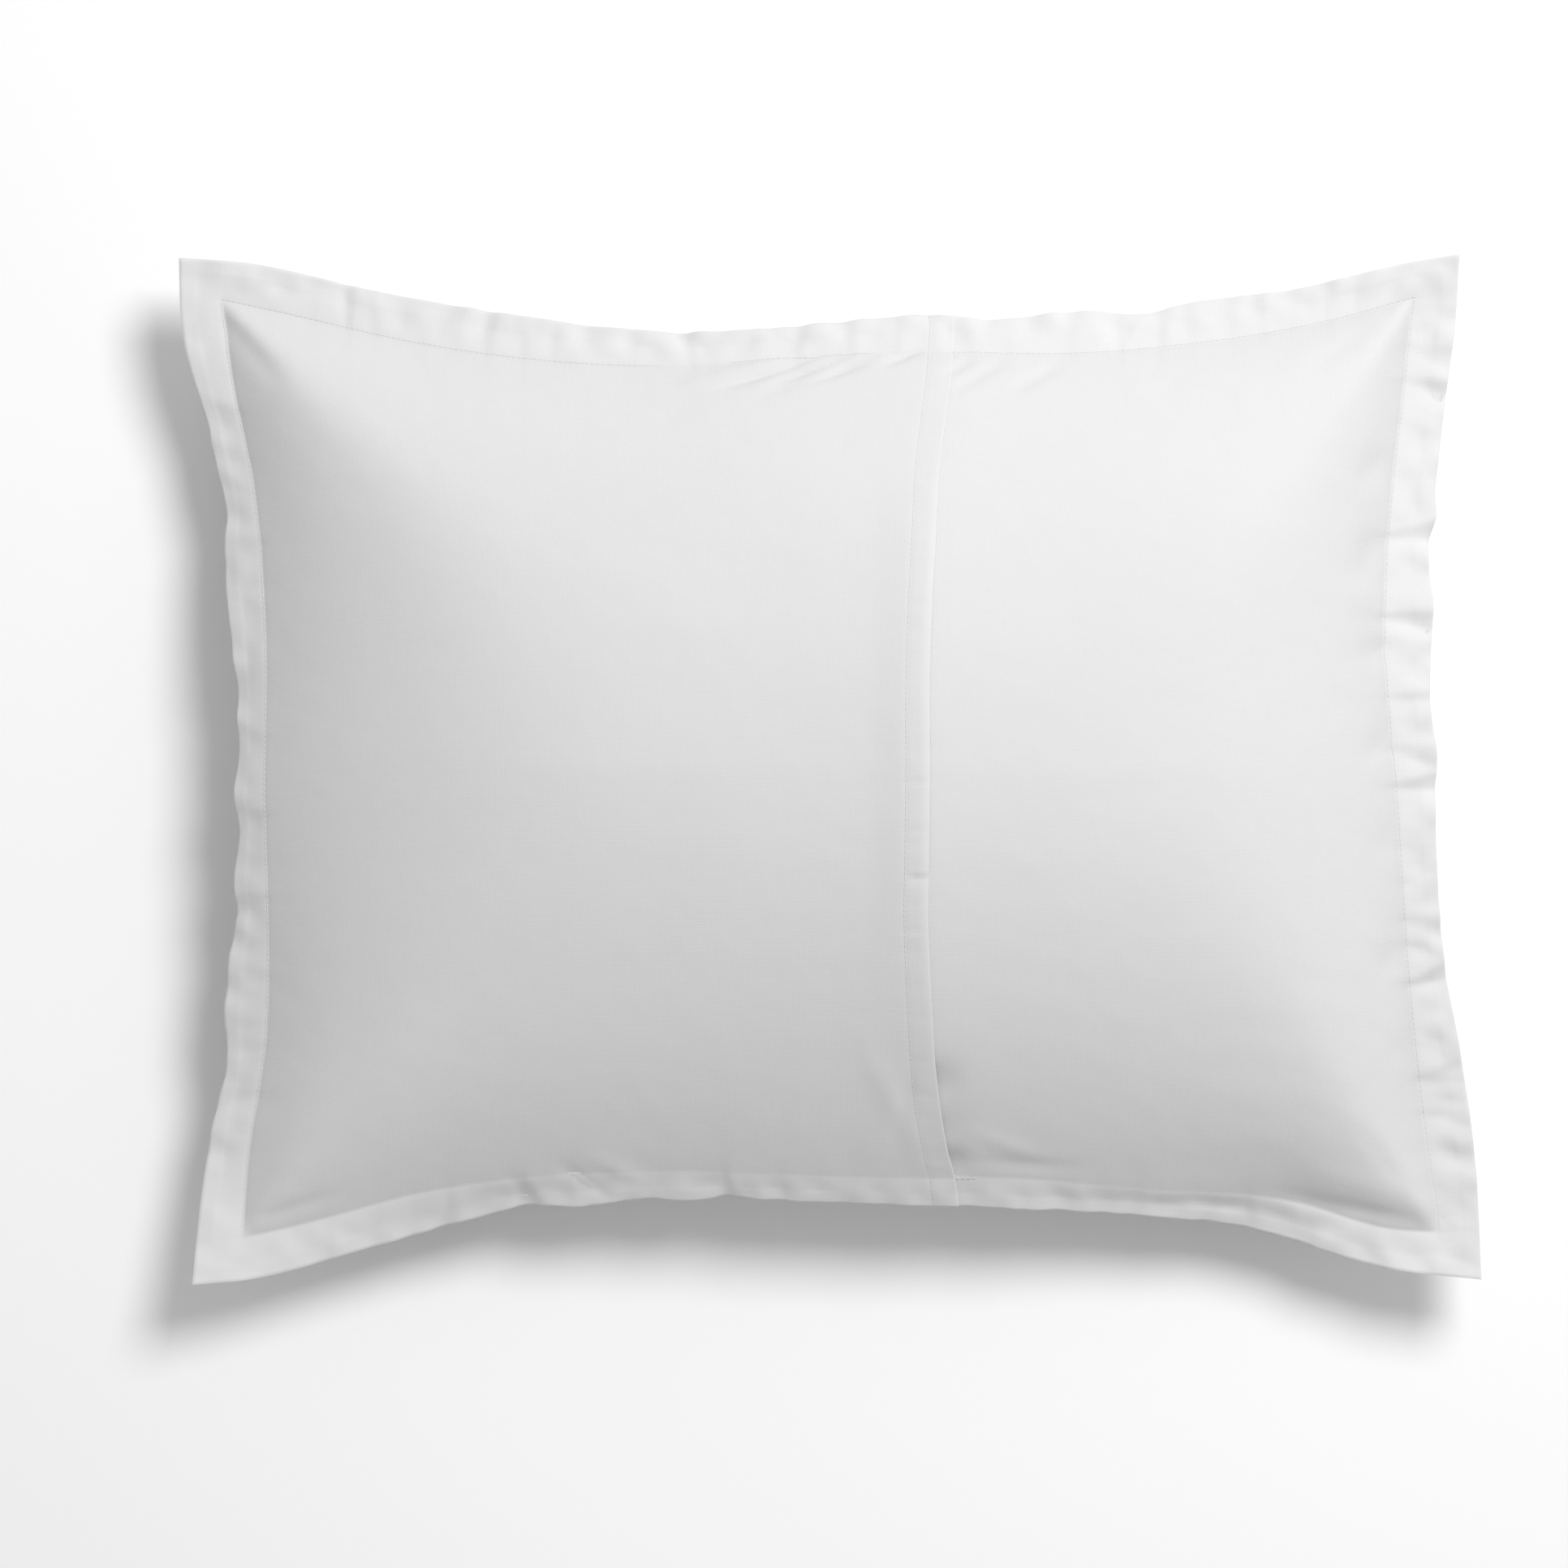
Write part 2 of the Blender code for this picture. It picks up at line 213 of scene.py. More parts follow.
def laidOut(p, q):
    # plan place and height of the seam surface at flat places, with the flange drooping outwards
    length, width, flange = sham["halfLength"], sham["halfWidth"], sham["flange"]
    u, v = np.clip(p / length, -1, 1), np.clip(q / width, -1, 1)
    outX = np.clip((np.abs(p) - length) / flange, 0, 1)
    outY = np.clip((np.abs(q) - width) / flange, 0, 1)
    sideX, sideY = np.sign(p), np.sign(q)
    rimU, rimV = u * length / (length + flange), v * width / (width + flange)
    a, b = outX[..., None], outY[..., None]
    plan = (1 - a) * (1 - b) * insideSeam(u, v) + a * (1 - b) * insideRim(sideX, rimV)
    plan += (1 - a) * b * insideRim(rimU, sideY) + a * b * insideRim(sideX, sideY)
    droop = filled["droop"]
    lost = 1 - filled["cornerDroop"]
    fallX = outX * np.where(sideX < 0, droop["left"], droop["right"]) * (1 - lost * v**4)
    fallY = outY * np.where(sideY < 0, droop["bottom"], droop["top"]) * (1 - lost * u**4)
    corner = (u * v) ** 2
    height = filled["seamHeight"] - filled["cornerDrop"] * corner * (2 - corner) - fallX - fallY
    reach, n = filled["reach"], filled["ridge"]
    turnX, turnY = (smoothstep((share + filled["blend"]) / (2 * filled["blend"])) for share in (u, v))
    reachX = reach["left"] + (reach["right"] - reach["left"]) * turnX
    reachY = reach["bottom"] + (reach["top"] - reach["bottom"]) * turnY
    inX = np.maximum(length - np.abs(p), 1e-7) / reachX
    inY = np.maximum(width - np.abs(q), 1e-7) / reachY
    inward = (inX**-n + inY**-n) ** (-1 / n)
    (fromX, fromY), (overX, overY) = filled["slackFrom"], filled["slackOver"]
    slack = filled["slack"] * smoothstep((fromX - u) / overX) * smoothstep((fromY - v) / overY)
    return plan, height, (1 - (1 - np.clip(inward, 0, 1)) ** filled["steepness"]) * (1 - slack)


def simLines(half, flange):
    cells, rim = clothSim["flangeCells"], round(2 * half / clothSim["cell"])
    out = half + flange * np.arange(1, cells + 1) / cells
    return np.concatenate([-out[::-1], np.linspace(-half, half, rim + 1), out])


def fillSham():
    # two sheets sewn together round the seam and blown up, with the flange as a fin round them
    linesP = simLines(sham["halfLength"], sham["flange"])
    linesQ = simLines(sham["halfWidth"], sham["flange"])
    p, q = np.meshgrid(linesP, linesQ, indexing="ij")
    plan, height, full = laidOut(p, q)
    sheets = {side: np.dstack([plan, height + side * filled["rise"] * full]) for side in (1, -1)}
    start = {side: points.copy() for side, points in sheets.items()}
    blowUp(linesP, linesQ, p, q, sheets)
    for side, points in sheets.items():
        change = points - start[side]
        far = np.linalg.norm(change, axis=-1, keepdims=True)
        sheets[side] = start[side] + eased(change * clothSim["cap"] / np.maximum(far, clothSim["cap"]))
    return linesP, linesQ, sheets


def newObject(name, data):
    thing = bpy.data.objects.new(name, data)
    bpy.context.scene.collection.objects.link(thing)
    return thing


def vertexPlaces(mesh):
    co = np.empty(len(mesh.vertices) * 3, np.float32)
    mesh.vertices.foreach_get("co", co)
    return co.reshape(-1, 3)


def eased(change):
    # irons out the finest creases of the blown-up cloth, keeping the seam and the rim
    rim = clothSim["flangeCells"]
    for _ in range(clothSim["easing"]):
        around = change.copy()
        around[1:-1, 1:-1] = (change[:-2, 1:-1] + change[2:, 1:-1] + change[1:-1, :-2] + change[1:-1, 2:]) / 4
        for line in (0, rim, -rim - 1, -1):
            around[line, 1:-1] = (change[line, :-2] + change[line, 2:]) / 2
            around[1:-1, line] = (change[:-2, line] + change[2:, line]) / 2
        for a in (0, rim, -rim - 1, -1):
            for b in (0, rim, -rim - 1, -1):
                around[a, b] = change[a, b]
        change = (change + around) / 2
    return change


def blowUp(linesP, linesQ, p, q, sheets):
    length, width = sham["halfLength"] - 1e-9, sham["halfWidth"] - 1e-9
    inside = (np.abs(p) < length) & (np.abs(q) < width)
    onSeam = ~inside & (np.abs(p) < length + 1e-6) & (np.abs(q) < width + 1e-6)
    number = {side: np.arange(p.size).reshape(p.shape) for side in (1, -1)}
    number[-1][inside] = p.size + np.arange(inside.sum())
    rng = np.random.default_rng(clothSim["seed"])
    verts = np.concatenate([sheets[1].reshape(-1, 3), sheets[-1][inside]])
    verts += rng.normal(size=verts.shape) * clothSim["shake"]
    flat = np.dstack([p, q, 0 * p])
    flat = np.concatenate([flat.reshape(-1, 3), flat[inside]])
    bodyP = np.abs(linesP[:-1] + linesP[1:]) / 2 < length
    bodyQ = np.abs(linesQ[:-1] + linesQ[1:]) / 2 < width
    body = bodyP[:, None] & bodyQ[None, :]
    upper = quads(number[1])
    lower = quads(number[-1])[body.ravel()][:, ::-1]

    mesh = bpy.data.meshes.new("blownUp")
    mesh.from_pydata(verts.tolist(), [], np.concatenate([upper, lower]).tolist())
    piece = newObject("blownUp", mesh)
    piece.shape_key_add(name="Basis")
    cut = piece.shape_key_add(name="cut")
    cut.data.foreach_set("co", flat.astype(np.float32).ravel())
    cut.value = 0
    puffed = np.concatenate([np.flatnonzero(inside), np.arange(p.size, len(verts))])
    piece.vertex_groups.new(name="puffed").add(puffed.tolist(), 1.0, "REPLACE")
    held = piece.vertex_groups.new(name="held")
    held.add(np.flatnonzero(onSeam).tolist(), clothSim["seamHold"], "REPLACE")
    held.add(np.flatnonzero(~inside & ~onSeam).tolist(), clothSim["rimHold"], "REPLACE")

    cloth = piece.modifiers.new("Cloth", "CLOTH")
    cloth.settings.rest_shape_key = cut
    cloth.settings.effector_weights.gravity = 0
    for name, value in clothSim["fabric"].items():
        setattr(cloth.settings, name, value)
    cloth.collision_settings.use_collision = False
    cloth.point_cache.frame_end = clothSim["frames"]
    scene = bpy.context.scene
    for step in range(1, clothSim["frames"] + 1):
        scene.frame_set(step)
    done = piece.evaluated_get(bpy.context.evaluated_depsgraph_get())
    moved = vertexPlaces(done.data).astype(float)
    bpy.data.objects.remove(piece)
    scene.frame_set(1)
    for side in (1, -1):
        sheets[side] = moved[number[side]]


def edgeRing(grid):
    # the outermost entries of a grid, in order round its four sides
    return np.concatenate([grid[:, 0], grid[-1, 1:], grid[-2::-1, -1], grid[0, -2:0:-1]])


def quads(number):
    # corner numbers of each cell of a grid of vertex numbers
    return np.stack([number[:-1, :-1], number[1:, :-1], number[1:, 1:], number[:-1, 1:]], -1).reshape(-1, 4)


linesP, linesQ, simSheets = fillSham()
thickness = float(simSheets[1][..., 2].max() - simSheets[-1][..., 2].min())
print("sham blown up,", round(thickness, 4), "m thick before it settles")


def settle(sheets):
    # the front is a little fuller, and the floor flattens it
    front = sheets[-1]
    seamZ = laidOut(*np.meshgrid(linesP, linesQ, indexing="ij"))[1]
    hang = np.minimum(front[..., 2] - seamZ, 0) * filled["frontFullness"]
    z = np.where(front[..., 2] < seamZ, seamZ + hang, front[..., 2])
    gap, soft = sham["floorGap"], filled["floorSoftness"]
    front[..., 2] = gap + soft * np.log1p(np.exp((z - gap) / soft))


settle(simSheets)


def raiseMouth(back):
    # the back falls away a little on both sides of the free edge, where the two panels pull apart
    p, q = np.meshgrid(linesP, linesQ, indexing="ij")
    edge = smoothLine(freeEdge)(np.clip(back[..., 1], -mouthEnd, mouthEnd))
    away = np.sqrt((back[..., 0] - edge) ** 2 + 0.004**2)
    fade = np.clip(1 - (q / sham["halfWidth"]) ** 2, 0, 1) * np.clip(1 - (p / sham["halfLength"]) ** 4, 0, 1)
    fall = filled["mouthSlope"] * filled["mouthReach"] * (1 - np.exp(-away / filled["mouthReach"]))
    back[..., 2] += (0.5 * filled["mouthSlope"] * filled["mouthReach"] - fall) * fade


raiseMouth(simSheets[1])


# Reading a smooth surface from the two sheets

def readingWeights(lines, half, places):
    # weights that read a cubic through the grid's lines, creased at the seams
    ends = [0, int(np.argmin(abs(lines + half))), int(np.argmin(abs(lines - half))), len(lines) - 1]
    weights = np.zeros((len(places), len(lines)))
    for start, end in zip(ends, ends[1:]):
        part = lines[start:end + 1]
        same, slope = np.eye(len(part)), np.gradient(np.eye(len(part)), part, axis=0)
        mine = np.flatnonzero((places >= part[0] - 1e-9) & (places <= part[-1] + 1e-9))
        k = np.clip(np.searchsorted(part, places[mine]) - 1, 0, len(part) - 2)
        step = (part[k + 1] - part[k])[:, None]
        t = (places[mine] - part[k])[:, None] / step
        weights[mine, start:end + 1] = cubic(t, step, same[k], same[k + 1], slope[k], slope[k + 1])
    return weights


def clothPoints(side, p, q):
    # points of one sheet at lines p, which may differ from one q to the next
    rows = np.einsum("qj,ijc->qic", readingWeights(linesQ, sham["halfWidth"], q), simSheets[side])
    if p.ndim == 1:
        return np.einsum("pi,qic->pqc", readingWeights(linesP, sham["halfLength"], p), rows)
    columns = [readingWeights(linesP, sham["halfLength"], p[:, k]) @ row for k, row in enumerate(rows)]
    return np.stack(columns, 1)


def normalsOf(points):
    across, along = np.gradient(points, axis=0), np.gradient(points, axis=1)
    normal = np.cross(across, along)
    return normal / np.maximum(np.linalg.norm(normal, axis=-1, keepdims=True), 1e-12)


def graded(half, flange, step):
    # lines across the cloth, closer together at the seam and at the rim
    near = np.array([0, 0.0011, 0.0024, 0.0040, 0.0062, 0.0088])
    body = np.linspace(-half + near[-1], half - near[-1], round(2 * (half - near[-1]) / step) + 1)
    fin = np.array([0.0012, 0.0026, 0.0045, 0.0075, 0.0105, 0.0135, 0.0155, 0.0168, 0.0182, 0.0210,
                    0.0235, 0.0249])
    out = half + np.append(fin, flange)
    inner = half - near[:-1]
    return np.concatenate([-out[::-1], -inner, body, inner[::-1], out])


# Wrinkles, set where the cloth shows them

puckers = {
    # place along the seam, depth, half width and slant towards the rim, in millimetres
    "right": [(230, 1.9, 3.2, -7), (212, 2.1, 2.6, -6), (190, 1.5, 4.2, -3), (160, 1.0, 3.4, 4),
              (127, 3.9, 2.6, 3), (83, 4.2, 3.0, -3), (69, 1.7, 5.0, -9), (39, 1.5, 1.3, 1),
              (11, 2.5, 3.2, -4), (-9, 3.5, 2.5, 3), (-41, 1.0, 4.4, 5), (-61, 1.3, 3.6, 4),
              (-82, 2.1, 3.2, -4), (-95, 1.3, 2.0, -5), (-116, 3.8, 2.6, 7), (-141, 0.9, 3.8, -4),
              (-168, 2.8, 3.6, 5), (-187, 1.5, 2.4, -3), (-207, 0.9, 3.8, -5), (-227, 1.0, 4.4, 5)],
    "top": [(-307, 0.7, 2.2, -2), (-281, 0.9, 2.2, 2), (-262, 2.0, 1.5, 1), (-248, 1.4, 1.8, -2),
            (-221, 1.1, 3.2, 3), (-186, 1.2, 2.0, 2), (-166, 1.0, 2.0, -2), (-150, 0.7, 2.0, 2),
            (-74, 2.2, 2.4, -5), (-41, 0.6, 2.2, 2), (-17, 1.2, 2.0, 3), (12, 1.1, 2.2, -3),
            (36, 0.9, 1.6, 2), (58, 0.8, 1.8, -2), (76, 1.1, 2.0, -3), (96, 1.0, 2.4, 3),
            (132, 0.7, 2.6, 2), (158, 1.0, 2.2, -2), (180, 2.0, 2.4, 3), (197, 0.8, 2.0, -2),
            (219, 1.1, 2.0, 2), (236, 1.2, 1.8, -2), (252, 0.9, 2.0, 2), (271, 1.3, 1.8, 2),
            (289, 0.8, 2.0, -2)],
    "left": [(196, 1.2, 4.0, -4), (124, 1.6, 4.0, -5), (88, 0.9, 3.6, 3), (54, 0.8, 3.6, -3),
             (16, 0.7, 4.0, 3), (-24, 1.5, 3.2, -4), (-50, 0.8, 3.2, 3), (-70, 1.4, 3.0, -4),
             (-112, 0.8, 3.6, 3), (-150, 1.0, 3.4, 3), (-176, 1.6, 3.0, -4), (-206, 0.7, 3.4, 2)],
    "bottom": [(-290, 0.7, 3.0, -2), (-246, 0.6, 3.2, 3), (-205, 0.8, 3.0, -2), (-166, 1.6, 3.4, 4),
               (-141, 1.5, 3.2, -5), (-118, 1.1, 3.6, -6), (-92, 0.7, 3.0, 2), (-56, 2.2, 2.2, 3),
               (-22, 0.6, 3.0, -2), (14, 0.5, 3.0, 2), (92, 0.7, 3.0, -2), (132, 0.7, 3.2, 3),
               (168, 0.9, 3.0, -3), (200, 0.7, 3.0, 2), (228, 0.9, 3.0, 3), (262, 0.8, 3.0, -2),
               (296, 1.2, 3.2, 4)],
}
pleat = {
    "body": 0.011,  # how far it reaches into the body
    "bodyShare": 0.20,
    "seamShare": 0.22,
    "recovery": 0.0105,  # how soon the cloth comes back to its level
    "seamWidth": 0.55,  # share of its width at the seam, and what it gains at the rim
    "rimGain": 1.75,
    "softShare": 0.45,  # of the step that is rounded at its top too
    "swell": 0.35,  # how far the cloth stands up before the step
    "smallDepth": 0.00060,
    "smallSpacing": 0.0095,
    "seed": 5,
}

sags = [
    # side, place along it, half length and depth of each stretch of flange that hangs lower, in millimetres,
    # and the share of the flange in which it comes down
    ("bottom", -200, 66, 3.8, 0.8), ("bottom", 228, 44, 3.8, 0.55), ("bottom", 150, 26, 1.6, 0.7),
    ("right", -40, 60, -0.8, 1.0),
]

drags = [
    # from, to, half width and height of each long wrinkle, in millimetres
    ((-62, 204), (0, 225), 2.5, -3.2), ((-34, 207), (8, 222), 2.2, -2.8),
    ((-14, 207), (24, 221), 2.3, -2.1), ((26, 217), (50, 226), 2.4, -2.2),
    ((-86, 205), (-20, 221), 3.2, 1.3), ((-46, 197), (-6, 213), 3.0, -0.9),
    ((64, 203), (98, 222), 3.4, -1.3), ((94, 201), (128, 221), 3.6, -1.3),
    ((60, 211), (78, 222), 2.6, -1.3), ((334, 288), (352, 262), 12.0, 2.0),
    ((-344, 268), (-322, 284), 9.0, 1.2), ((300, 262), (322, 281), 5.0, -0.9),
    ((326, -262), (350, -240), 9.0, -1.3), ((-322, -262), (-342, -240), 9.0, 1.0),
    ((236, -229), (330, -249), 4.6, -1.8), ((250, -214), (322, -236), 7.0, 0.8),
    ((-322, -248), (-262, -229), 4.0, -1.0), ((-331, 246), (-296, 206), 6.0, -1.6),
    ((-150, -212), (-118, -236), 4.2, -1.2), ((-176, -219), (-158, -242), 4.0, -1.1),
    ((-136, -208), (-96, -226), 5.0, 0.9), ((296, 240), (256, 214), 5.0, -0.8),
    ((316, -232), (286, -196), 5.0, -0.9), ((301, 176), (286, 150), 8.0, -1.5),
    ((297, 132), (284, 96), 9.0, -1.7), ((300, 72), (289, 54), 8.0, -1.2),
    ((303, 22), (290, 2), 8.0, -1.3), ((308, -92), (296, -118), 8.0, -1.2),
    ((306, -30), (294, -52), 8.0, -1.0), ((46, -150), (34, -205), 5.0, -1.0),
    ((14, -140), (52, -214), 6.0, 0.7), ((76, -196), (120, -212), 4.5, 0.8),
    ((72, -212), (140, -216), 4.0, -0.9), ((-206, -120), (-262, -200), 16.0, 0.9),
    ((-40, 60), (-150, 120), 24.0, 0.8),
]


def foldsOf(name, rng):
    # the pleats of one side in metres, with finer ones at random between them
    folds = [tuple(value / 1000 for value in fold) for fold in puckers[name]]
    half = sham["halfLength"] if name in ("top", "bottom") else sham["halfWidth"]
    for place in np.arange(-half, half, pleat["smallSpacing"]):
        size = rng.uniform(0.1, 1.0) ** 2 * pleat["smallDepth"]
        folds.append((place + rng.normal() * 0.005, size, rng.uniform(0.0012, 0.0030), rng.normal() * 0.006))
    return folds


def puckerDepth(points, p, q):
    # each pleat is a step down away from the light, which opens towards the rim and dies out in the body
    outP, outQ = np.abs(p) - sham["halfLength"], np.abs(q) - sham["halfWidth"]
    x, y = points[..., 0], points[..., 1]
    sides = {"right": (outP, y, p > 0), "left": (outP, y, p < 0), "top": (outQ, x, q > 0),
             "bottom": (outQ, x, q < 0)}
    rng = np.random.default_rng(pleat["seed"])
    total = np.zeros(p.shape)
    for name, (out, along, here) in sides.items():
        opened = np.clip(out / sham["flange"], 0, 1)
        reach = pleat["seamShare"] + (1 - pleat["seamShare"]) * opened
        inside = np.exp(np.minimum(out, 0) / pleat["body"])
        body = pleat["seamShare"] + (pleat["bodyShare"] - pleat["seamShare"]) * smoothstep(-out / 0.004)
        reach = np.where(out < 0, body, reach) * inside
        for place, depth, width, slant in foldsOf(name, rng):
            wide = width * (pleat["seamWidth"] + pleat["rimGain"] * opened + np.clip(-out / 0.012, 0, 3))
            s = place + slant * opened ** 1.4 - along
            fall = np.clip((s / wide + 1) / 2, 0, 1)
            step = pleat["softShare"] * smoothstep(fall) + (1 - pleat["softShare"]) * fall**2.2
            step = step * np.exp(-np.maximum(s - wide * 0.8, 0) / pleat["recovery"])
            swell = np.exp(-np.maximum(-s - wide, 0) / pleat["recovery"]) * (s < 0) * smoothstep(-s / wide)
            total -= here * depth * (step - pleat["swell"] * swell) * reach
        for side, place, spread, depth, share in sags:
            if side == name:
                hang = hump(along - place / 1000, spread / 1000)
                total -= here * depth / 1000 * hang * smoothstep(out / sham["flange"] / share)
    return total * (1 - smoothstep(np.minimum(outP, outQ) / 0.012 + 0.4))


crumples = {
    "waves": 26,
    "flangeDepth": 0.00072,
    "bodyDepth": 0.00010,
    "shortest": 0.013,
    "longest": 0.045,
    "wander": 55,  # how often each wave bends on its way, and how far
    "bend": 0.9,
    "near": 0.045,  # how far in from the seam the body is crumpled more
    "calm": 0.6,  # share that is left at the lower left, which is pulled smooth
    "seed": 8,
}


def crumpleHeight(points, p, q):
    # slight unevenness that crosses the cloth in every direction, stronger out on the flange
    rng = np.random.default_rng(crumples["seed"])
    total = np.zeros(p.shape)
    x, y, wander = points[..., 0], points[..., 1], crumples["wander"]
    for _ in range(crumples["waves"]):
        length = crumples["shortest"] * (crumples["longest"] / crumples["shortest"]) ** rng.uniform()
        turn, phase = rng.uniform(0, 2 * pi), rng.uniform(0, 2 * pi)
        bend = crumples["bend"] * np.sin(x * cos(turn * 3) * wander + y * sin(turn * 3) * wander + phase * 2)
        across = x * cos(turn) + y * sin(turn)
        total += np.sin(2 * pi * across / length + phase + bend) * (length / crumples["longest"]) ** 0.7
    total *= 2 / crumples["waves"] ** 0.5
    out = beyondSeam(p, q)
    near = np.exp(np.minimum(out, 0) / crumples["near"])
    depth = crumples["bodyDepth"] * (0.35 + 0.65 * near)
    total *= crumples["calm"] + (1 - crumples["calm"]) * smoothstep((x + y + 0.20) / 0.30)
    return total * (depth + (crumples["flangeDepth"] - depth) * smoothstep(out / 0.016))


def dragHeight(points):
    # each wrinkle is a rounded fold that runs out a little beyond both its ends
    spare = 0.15
    total = np.zeros(points.shape[:2])
    for start, end, width, height in drags:
        start, end = np.array(start) / 1000, np.array(end) / 1000
        length = np.linalg.norm(end - start)
        way = (end - start) / length
        off = points[..., :2] - start
        t = (off @ way) / length
        beside = (off[..., 0] * way[1] - off[..., 1] * way[0]) / (width / 1000)
        fade = np.cos(pi * (np.clip(t, -spare, 1 + spare) - 0.5) / (1 + 2 * spare)) ** 2
        total += height / 1000 * np.exp(-beside**2) * fade
    return total


def shapedCloth(side, p, q):
    # points, outward normals and flat places of one side of the sham, wrinkles included
    points = clothPoints(side, p, q)
    flatP = np.repeat(p[:, None], len(q), 1) if p.ndim == 1 else p
    flatQ = np.repeat(q[None, :], len(p), 0)
    normal = normalsOf(points)
    lift = puckerDepth(points, flatP, flatQ) + crumpleHeight(points, flatP, flatQ)
    if side == 1:
        lift = lift + dragHeight(points)
    points = points + normal * lift[..., None]
    return points, normalsOf(points) * side, flatP, flatQ


# Building sheets and stitches

layers = {
    # offsets outwards from the blown-up surface
    "face": 0.00060,
    "narrow": 0.00025,
    "overlapLift": 0.00045,  # the wide panel over the narrow one
    "hemThickness": 0.00062,  # the folded cloth under a hem
    "groove": 0.00016,
    "ridge": 0.00022,  # the raw edges showing through the flange
    "thinnest": 0.00008,
}


def addPiece(name, verts, faces, body=None):
    mesh = bpy.data.meshes.new(name)
    faces = faces if isinstance(faces, list) else faces.tolist()
    mesh.from_pydata(np.asarray(verts, float).reshape(-1, 3).tolist(), [], faces)
    mesh.update()
    mesh.shade_smooth()
    piece = newObject(name, mesh)
    if body:
        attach(piece, body)
    return piece


def keepOnPoints(piece, name, kind, values):
    attribute = piece.data.attributes.new(name, kind, "POINT")
    key = "vector" if kind == "FLOAT_VECTOR" else "value"
    attribute.data.foreach_set(key, np.asarray(values, np.float32).ravel())


def thickSheet(name, side, cloth, outer, inner, wear):
    # a closed cloth between two offsets along its outward normal
    points, normal, flatP, flatQ = cloth
    faceOut, faceIn = points + normal * outer[..., None], points + normal * inner[..., None]
    if side == -1:
        faceOut[..., 2] = np.maximum(faceOut[..., 2], layers["thinnest"])
        faceIn[..., 2] = np.maximum(faceIn[..., 2], faceOut[..., 2] + sham["cloth"] / 2)
    number = np.arange(flatP.size).reshape(flatP.shape)
    top, under = quads(number), quads(number + flatP.size)[:, ::-1]
    rim = edgeRing(number)
    after = np.roll(rim, -1)
    wall = np.stack([after, rim, rim + flatP.size, after + flatP.size], -1)
    faces = np.concatenate([top, under, wall])
    piece = addPiece(name, np.concatenate([faceOut.reshape(-1, 3), faceIn.reshape(-1, 3)]),
                     faces if side == 1 else faces[:, ::-1])
    flat = np.dstack([flatP, flatQ, 0 * flatP]).reshape(-1, 3)
    keepOnPoints(piece, "clothPlace", "FLOAT_VECTOR", np.concatenate([flat, flat]))
    keepOnPoints(piece, "wear", "FLOAT", np.concatenate([wear.ravel(), wear.ravel()]))
    doubled = smoothstep(beyondSeam(flatP, flatQ) / 0.002)
    keepOnPoints(piece, "doubled", "FLOAT", np.concatenate([doubled.ravel(), doubled.ravel()]))
    return piece


stitch = {
    "length": 0.0023,
    "pitch": 0.0029,
    "radius": 0.00021,
    "sides": 6,
    "outside": 0.0012,  # from the seam out to the row in the flange
    "sunk": 0.00012,  # further into the cloth along the bottom, where the seam is pulled in
    "sunkFrom": -0.19,
    "handPitch": 0.0040,  # the closing stitches of the insert
    "handHalf": 0.080,
}


def stitchRow(name, places, ways, normals):
    # one small closed bead of thread for each stitch
    spans = np.array([-0.5, -0.40, -0.15, 0.15, 0.40, 0.5])
    swell = np.array([0.30, 0.80, 1.0, 1.0, 0.80, 0.30])
    turns = 2 * pi * np.arange(stitch["sides"]) / stitch["sides"]
    beside = np.cross(normals, ways)
    ring = np.cos(turns)[:, None, None] * normals + np.sin(turns)[:, None, None] * beside
    beads = ring[None] * (swell * stitch["radius"])[:, None, None, None]
    beads = beads + places + (spans * stitch["length"])[:, None, None, None] * ways
    beads = beads.transpose(2, 0, 1, 3)
    sides, rings = stitch["sides"], len(spans)
    number = np.arange(rings * sides).reshape(rings, sides)
    around = np.roll(number, -1, 1)
    walls = np.stack([number[:-1], around[:-1], around[1:], number[1:]], -1).reshape(-1, 4)
    base = np.arange(len(places)) * rings * sides
    faces = (walls[None] + base[:, None, None]).reshape(-1, 4).tolist()
    caps = (number[0][None] + base[:, None]).tolist() + (number[-1][::-1][None] + base[:, None]).tolist()
    piece = addPiece(name, beads, faces + caps)
    flip(piece)
    return piece


def flip(piece):
    # turns a closed mesh's faces outwards if its volume comes out negative
    mesh = piece.data
    mesh.calc_loop_triangles()
    corners = np.empty(len(mesh.loop_triangles) * 3, np.int32)
    mesh.loop_triangles.foreach_get("vertices", corners)
    a, b, c = vertexPlaces(mesh)[corners.reshape(-1, 3)].transpose(1, 0, 2)
    if np.einsum("ij,ij->i", a, np.cross(b, c)).sum() < 0:
        mesh.flip_normals()


edging = {
    "ridgeStart": 0.0150,  # from the seam out to where the raw edges begin to show
    "ridgeSlope": 0.0018,
    "seamDent": 1.6,  # of the groove beside a hem
    "dentPlace": 0.0008,
    "dentWidth": 0.0013,
    "rimRound": 0.0009,  # how far in the turned rim is rounded
    "hemRound": 0.0007,
    "hemStep": 0.0009,
    "hemDent": 0.0010,
    "rimWear": 0.0012,
    "hemWear": 0.0011,
    "calmDent": 0.85,  # share of the dent and of the ridge that is pulled smooth along the bottom
    "calmRidge": 0.5,
    "hemPuckers": 0.0085,  # between them, along the hem
}


def roundedOver(away, width):
    # from 0 at an edge to 1 at a width in from it, as a quarter circle
    return np.sqrt(np.clip(1 - (1 - np.clip(away / width, 0, 1)) ** 2, 0, 1))


